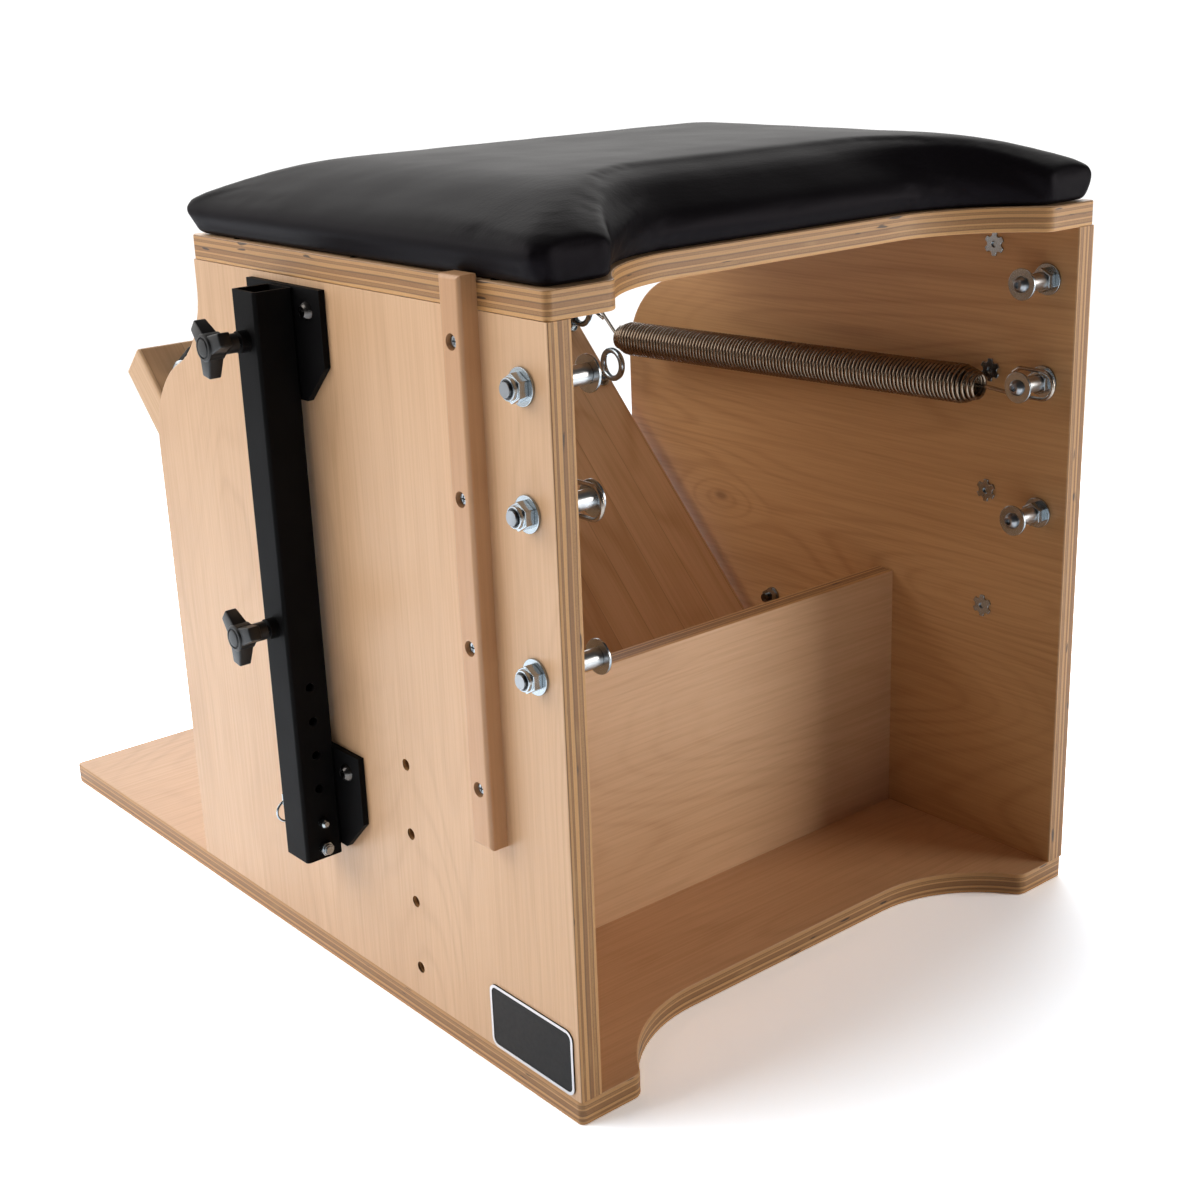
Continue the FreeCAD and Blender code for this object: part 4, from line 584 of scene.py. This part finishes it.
def makeCushion():
    mesh = nodes["seat_cushion"].data.copy()
    mesh.name = "cushion"
    piece = bpy.data.objects.new("cushion", mesh)
    scene.collection.objects.link(piece)
    low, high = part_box("seat_backing_board")
    grid = bmesh.new()
    grid.from_mesh(mesh)
    bmesh.ops.remove_doubles(grid, verts=grid.verts, dist=1e-6)

    def inPocket(v):
        return (low[0] - 2e-4 < v.co.x < high[0] + 2e-4 and low[1] - 2e-4 < v.co.y < high[1] + 2e-4
                and v.co.z < high[2] + 2e-4)

    bmesh.ops.delete(grid, geom=[f for f in grid.faces if all(inPocket(v) for v in f.verts)],
                     context="FACES")
    bmesh.ops.delete(grid, geom=[v for v in grid.verts if not v.link_faces], context="VERTS")
    bmesh.ops.holes_fill(grid, edges=[e for e in grid.edges if len(e.link_faces) == 1], sides=0)
    bmesh.ops.triangulate(grid, faces=grid.faces)
    bmesh.ops.recalc_face_normals(grid, faces=grid.faces)
    grid.to_mesh(mesh)
    grid.free()

    def applied(kind, **settings):
        modifier = piece.modifiers.new(kind, kind)
        for key, value in settings.items():
            setattr(modifier, key, value)
        depsgraph = bpy.context.evaluated_depsgraph_get()
        final = bpy.data.meshes.new_from_object(piece.evaluated_get(depsgraph))
        piece.modifiers.remove(modifier)
        piece.data = final

    applied("REMESH", mode="VOXEL", voxel_size=cushionSizes["voxel"])
    applied("SMOOTH", factor=0.5, iterations=3)
    count = len(piece.data.vertices)
    rest = np.empty(count * 3)
    piece.data.vertices.foreach_get("co", rest)
    rest = rest.reshape(-1, 3)

    pins = piece.vertex_groups.new(name="pins")
    for index, co in enumerate(rest):
        if co[2] < cushionSizes["pinBelow"]:
            pins.add([index], 1.0, "REPLACE")
    cloth = piece.modifiers.new("cloth", "CLOTH")
    cloth.settings.quality = 5
    cloth.settings.mass = 0.25
    cloth.settings.tension_stiffness = 12
    cloth.settings.compression_stiffness = 12
    cloth.settings.shear_stiffness = 5
    cloth.settings.bending_stiffness = 0.6
    cloth.settings.use_pressure = True
    cloth.settings.uniform_pressure_force = cushionSizes["pressure"]
    cloth.settings.effector_weights.gravity = 0.0
    cloth.settings.vertex_group_mass = "pins"
    cloth.point_cache.frame_start = 1
    cloth.point_cache.frame_end = cushionSizes["frames"]
    for step in range(1, cushionSizes["frames"] + 1):
        scene.frame_set(step)
    blown = np.empty(count * 3)
    depsgraph = bpy.context.evaluated_depsgraph_get()
    piece.evaluated_get(depsgraph).data.vertices.foreach_get("co", blown)
    piece.modifiers.remove(cloth)
    scene.frame_set(1)
    move = blown.reshape(-1, 3) - rest
    length = np.linalg.norm(move, axis=1)
    print("cloth moved %.1f mm at most, %.2f mm on average" % (length.max() / mm, length.mean() / mm))
    move *= (np.minimum(length, cushionSizes["cap"]) / np.maximum(length, 1e-9))[:, None]
    co = rest + move

    # Corner seams run up the wall and fade over the bevel
    s = cushionSizes
    half, back, rear = s["half"], s["front"], s["rear"]
    for cx, cy, sx, sy in ((half, rear, 1, 1), (-half, rear, -1, 1), (half, back, 1, -1),
                           (-half, back, -1, -1)):
        seam = (cx - sx * s["seamIn"], cy - sy * s["seamIn"])
        away = np.hypot(co[:, 0] - seam[0], co[:, 1] - seam[1])
        fade = np.clip((s["seamTop"] - co[:, 2]) / s["seamFade"], 0, 1)
        fade *= np.clip((co[:, 2] - s["seamFoot"]) / s["footFade"], 0, 1)
        dip = s["seamDepth"] * np.exp(-(away / s["seamWidth"]) ** 2) * fade
        puff = s["puff"] * np.exp(-((away - s["puffAway"]) / s["puffWidth"]) ** 2) * fade
        co[:, 0] += -sx * dip * 0.7 + sx * puff * 0.4
        co[:, 1] += -sy * dip * 0.7 + (sy * puff * 0.4 if sy < 0 else 0.0)
    co[:, 1] = np.minimum(co[:, 1], s["rearStop"])
    co[:, 2] = np.maximum(co[:, 2], s["floor"])
    for index in range(count):
        v = Vector(co[index])
        lump = noise.noise(v * 22.0) * s["lump"] + noise.noise(v * 60.0) * s["fineLump"]
        if v.z > s["lumpAbove"]:
            co[index][2] += lump
    piece.data.vertices.foreach_set("co", co.ravel())
    piece.data.update()
    piece.vertex_groups.clear()
    applied("SUBSURF", levels=1, render_levels=1)
    piece.data.materials.clear()
    piece.data.materials.append(vinylMaterial())
    piece.data.polygons.foreach_set("use_smooth", [True] * len(piece.data.polygons))
    return piece


cushion = makeCushion()
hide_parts("seat_cushion", "seat_backing_board")
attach(cushion, "case")
print("cushion", len(cushion.data.polygons))


# Clamp knobs: a turned hub and three tapered wings

knobSizes = {"neck": 0.0070, "neckEnd": 0.0088, "hub": 0.0100, "cap": 0.0078, "reach": 0.0222,
             "rootHalf": 0.0072, "tipHalf": 0.0050, "thick": 0.0125, "tipThick": 0.0095, "edge": 0.0012,
             "middle": 0.0185, "wingRoot": 0.004, "around": 40,
             "firstWing": 20, "start": 0.316, "axisY": 0.104, "heights": {"upper": 0.5175, "lower": 0.302}}


def makeKnob(name, place, sign):
    s = knobSizes
    grid = bmesh.new()
    turned = [(0.0, 0.0), (s["neck"], 0.0), (s["neck"], 0.009), (s["neckEnd"], 0.0115), (s["hub"], 0.0125),
              (s["hub"], 0.0245), (s["hub"] - 0.0008, 0.0256), (s["cap"], 0.0258), (s["cap"], 0.0250),
              (s["cap"] - 0.0008, 0.0250), (s["cap"] - 0.0016, 0.0262), (s["cap"] - 0.004, 0.0265),
              (0.0, 0.0265)]
    around = s["around"]
    rings = []
    for r, x in turned:
        if r == 0.0:
            rings.append([grid.verts.new((x, 0, 0))])
        else:
            rings.append([grid.verts.new((x, r * math.cos(2 * math.pi * i / around),
                                          r * math.sin(2 * math.pi * i / around)))
                          for i in range(around)])
    for a, b in zip(rings, rings[1:]):
        for i in range(around):
            j = (i + 1) % around
            if len(a) == 1:
                grid.faces.new((a[0], b[i], b[j]))
            elif len(b) == 1:
                grid.faces.new((a[i], b[0], a[j]))
            else:
                grid.faces.new((a[i], b[i], b[j], a[j]))
    for turn in range(3):
        angle = math.radians(s["firstWing"] + 120 * turn)
        out = Vector((0, math.cos(angle), math.sin(angle)))
        across = Vector((0, -math.sin(angle), math.cos(angle)))
        mid = s["middle"]
        wing = bmesh.new()
        corners = []
        for reach, half, thick in ((s["wingRoot"], s["rootHalf"], s["thick"]),
                                   (s["reach"], s["tipHalf"], s["tipThick"])):
            for w, t in ((-1, -1), (1, -1), (1, 1), (-1, 1)):
                spot = Vector((mid + t * thick / 2, 0, 0)) + out * reach + across * (w * half)
                corners.append(wing.verts.new(spot))
        for quad in ((0, 1, 2, 3), (7, 6, 5, 4), (0, 4, 5, 1), (1, 5, 6, 2), (2, 6, 7, 3), (3, 7, 4, 0)):
            wing.faces.new([corners[i] for i in quad])
        bmesh.ops.recalc_face_normals(wing, faces=wing.faces)
        bmesh.ops.bevel(wing, geom=list(wing.edges), offset=s["edge"], segments=3, profile=0.5,
                        affect="EDGES", clamp_overlap=True)
        part = bpy.data.meshes.new("wing")
        wing.to_mesh(part)
        wing.free()
        grid.from_mesh(part)
        bpy.data.meshes.remove(part)
    bmesh.ops.recalc_face_normals(grid, faces=grid.faces)
    grid.transform(Matrix.Translation(place) @ Matrix.Diagonal((sign, 1, 1, 1)))
    if sign < 0:
        bmesh.ops.reverse_faces(grid, faces=grid.faces)
    mesh = bpy.data.meshes.new(name)
    grid.to_mesh(mesh)
    grid.free()
    mesh.materials.append(plastic)
    for face in mesh.polygons:
        face.use_smooth = True
    mesh.set_sharp_from_angle(angle=math.radians(35))
    piece = bpy.data.objects.new(name, mesh)
    scene.collection.objects.link(piece)
    return piece


for side, sign in (("left", 1), ("right", -1)):
    for level, height in knobSizes["heights"].items():
        place = (sign * knobSizes["start"], knobSizes["axisY"], height)
        knob = makeKnob("knob_%s_%s" % (side, level), place, sign)
        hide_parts("clamp_knob_%s_%s" % (side, level))
        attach(knob, "knob_%s_%s" % (side, level))
print("knobs done")


# Camera at the photo's place

cameraSizes = {"place": (0.92654, 1.24437, 0.74711), "yaw": -2.2573, "pitch": -0.3275, "roll": -0.0371,
               "lens": 54.235}


def aimCamera():
    yaw, pitch, roll = cameraSizes["yaw"], cameraSizes["pitch"], cameraSizes["roll"]
    ahead = Vector((math.cos(pitch) * math.cos(yaw), math.cos(pitch) * math.sin(yaw), math.sin(pitch)))
    right = ahead.cross(Vector((0, 0, 1))).normalized()
    up = right.cross(ahead)
    c, s = math.cos(roll), math.sin(roll)
    right, up = right * c + up * s, up * c - right * s
    data = bpy.data.cameras.new("photoCamera")
    data.sensor_width = 36.0
    data.sensor_fit = "HORIZONTAL"
    data.lens = cameraSizes["lens"]
    data.clip_start = 0.05
    data.clip_end = 60.0
    camera = bpy.data.objects.new("photoCamera", data)
    turn = Matrix((right, up, -ahead)).transposed().to_4x4()
    camera.matrix_world = Matrix.Translation(cameraSizes["place"]) @ turn
    scene.collection.objects.link(camera)
    scene.camera = camera


lamps = {"keyLight": {"place": (2.2, -0.9, 2.1), "target": (0.2, 0.0, 0.33), "size": (1.9, 1.9),
                      "power": 40.0, "color": (1.0, 0.97, 0.94)},
         "fillLight": {"place": (-1.9, 2.5, 0.75), "target": (0.1, 0.25, 0.2), "size": (1.3, 1.3),
                       "power": 44.0, "color": (1.0, 0.97, 0.93)}}


def areaLight(name, place, target, size, power, color):
    data = bpy.data.lights.new(name, "AREA")
    data.shape = "RECTANGLE"
    data.size, data.size_y = size
    data.energy = power
    data.color = color
    lamp = bpy.data.objects.new(name, data)
    lamp.location = place
    lamp.rotation_euler = (Vector(target) - Vector(place)).to_track_quat("-Z", "Y").to_euler()
    scene.collection.objects.link(lamp)
    return lamp


stageSizes = {"reach": 14.0, "floorTone": 0.93, "seenTone": (2.26, 2.48, 2.72, 1), "white": 1.1,
              "fadeFrom": 1.0, "fadeTo": 2.2, "ambient": 0.06, "backdrop": 2.4,
              "backdropWay": (-0.24, -0.95, 0.20), "lowUnder": 0.40, "lowOver": 0.78}


def makeFloor():
    s = stageSizes
    r = s["reach"]
    mesh = bpy.data.meshes.new("floor")
    mesh.from_pydata([(-r, -r, 0), (r, -r, 0), (r, r, 0), (-r, r, 0)], [], [(0, 1, 2, 3)])
    floor = bpy.data.objects.new("floor", mesh)
    floor.location = (0, 0, -0.0002)
    scene.collection.objects.link(floor)
    material, tree, shader = newMaterial("paleFloor")
    shader.inputs["Base Color"].default_value = (s["floorTone"],) * 3 + (1,)
    shader.inputs["Roughness"].default_value = 0.9
    shader.inputs["Specular IOR Level"].default_value = 0.1
    # The camera and reflections see the floor printed lighter, white further off, with its shadow
    coord = put(tree, "ShaderNodeTexCoord").outputs["Object"]
    away = put(tree, "ShaderNodeVectorMath", {"operation": "LENGTH"}, {0: coord}).outputs["Value"]
    seen = put(tree, "ShaderNodeBsdfDiffuse", {}, {"Color": s["seenTone"]})
    white = put(tree, "ShaderNodeEmission", {}, {"Strength": s["white"]})
    fade = ramp(tree, away, s["fadeFrom"], s["fadeTo"])
    far = put(tree, "ShaderNodeMixShader", {}, {0: fade, 1: seen.outputs[0], 2: white.outputs[0]})
    path = put(tree, "ShaderNodeLightPath")
    mirrored = calc(tree, "MAXIMUM", path.outputs["Is Glossy Ray"], path.outputs["Is Transmission Ray"])
    shown = calc(tree, "MAXIMUM", path.outputs["Is Camera Ray"], mirrored)
    mixed = put(tree, "ShaderNodeMixShader", {}, {0: shown, 1: shader.outputs[0], 2: far.outputs[0]})
    tree.links.new(mixed.outputs[0], tree.nodes["Material Output"].inputs["Surface"])
    mesh.materials.append(material)


def makeStage():
    makeFloor()
    world = bpy.data.worlds.new("studio")
    world.use_nodes = True
    tree = world.node_tree
    back = tree.nodes["Background"]
    path = put(tree, "ShaderNodeLightPath")
    back.inputs["Color"].default_value = (1.0, 0.985, 0.965, 1)
    # A dim room with a bright backdrop beyond the object
    way = put(tree, "ShaderNodeTexCoord").outputs["Generated"]
    toward = put(tree, "ShaderNodeVectorMath", {"operation": "DOT_PRODUCT"},
                 {0: way, 1: stageSizes["backdropWay"]}).outputs["Value"]
    rise = put(tree, "ShaderNodeSeparateXYZ", {}, {0: way}).outputs["Z"]
    wide = ramp(tree, toward, 0.20, 0.85)
    low = ramp(tree, rise, stageSizes["lowUnder"], stageSizes["lowOver"], 1.0, 0.0)
    band = calc(tree, "MULTIPLY", wide, low)
    share = put(tree, "ShaderNodeMix", {"data_type": "FLOAT"},
                {0: path.outputs["Is Glossy Ray"], 2: wide, 3: band}).outputs[0]
    glow = calc(tree, "MULTIPLY_ADD", share, stageSizes["backdrop"] - stageSizes["ambient"],
                stageSizes["ambient"])
    mirrored = calc(tree, "MULTIPLY", path.outputs["Is Glossy Ray"], band)
    seen = calc(tree, "MAXIMUM", path.outputs["Is Camera Ray"], path.outputs["Is Transmission Ray"])
    shown = calc(tree, "MAXIMUM", seen, mirrored)
    lit = calc(tree, "MAXIMUM", glow, calc(tree, "MULTIPLY", shown, stageSizes["white"]))
    tree.links.new(lit, back.inputs["Strength"])
    scene.world = world
    for name, settings in lamps.items():
        areaLight(name, **settings)
    scene.view_settings.view_transform = "Standard"


aimCamera()
makeStage()
print("stage done")
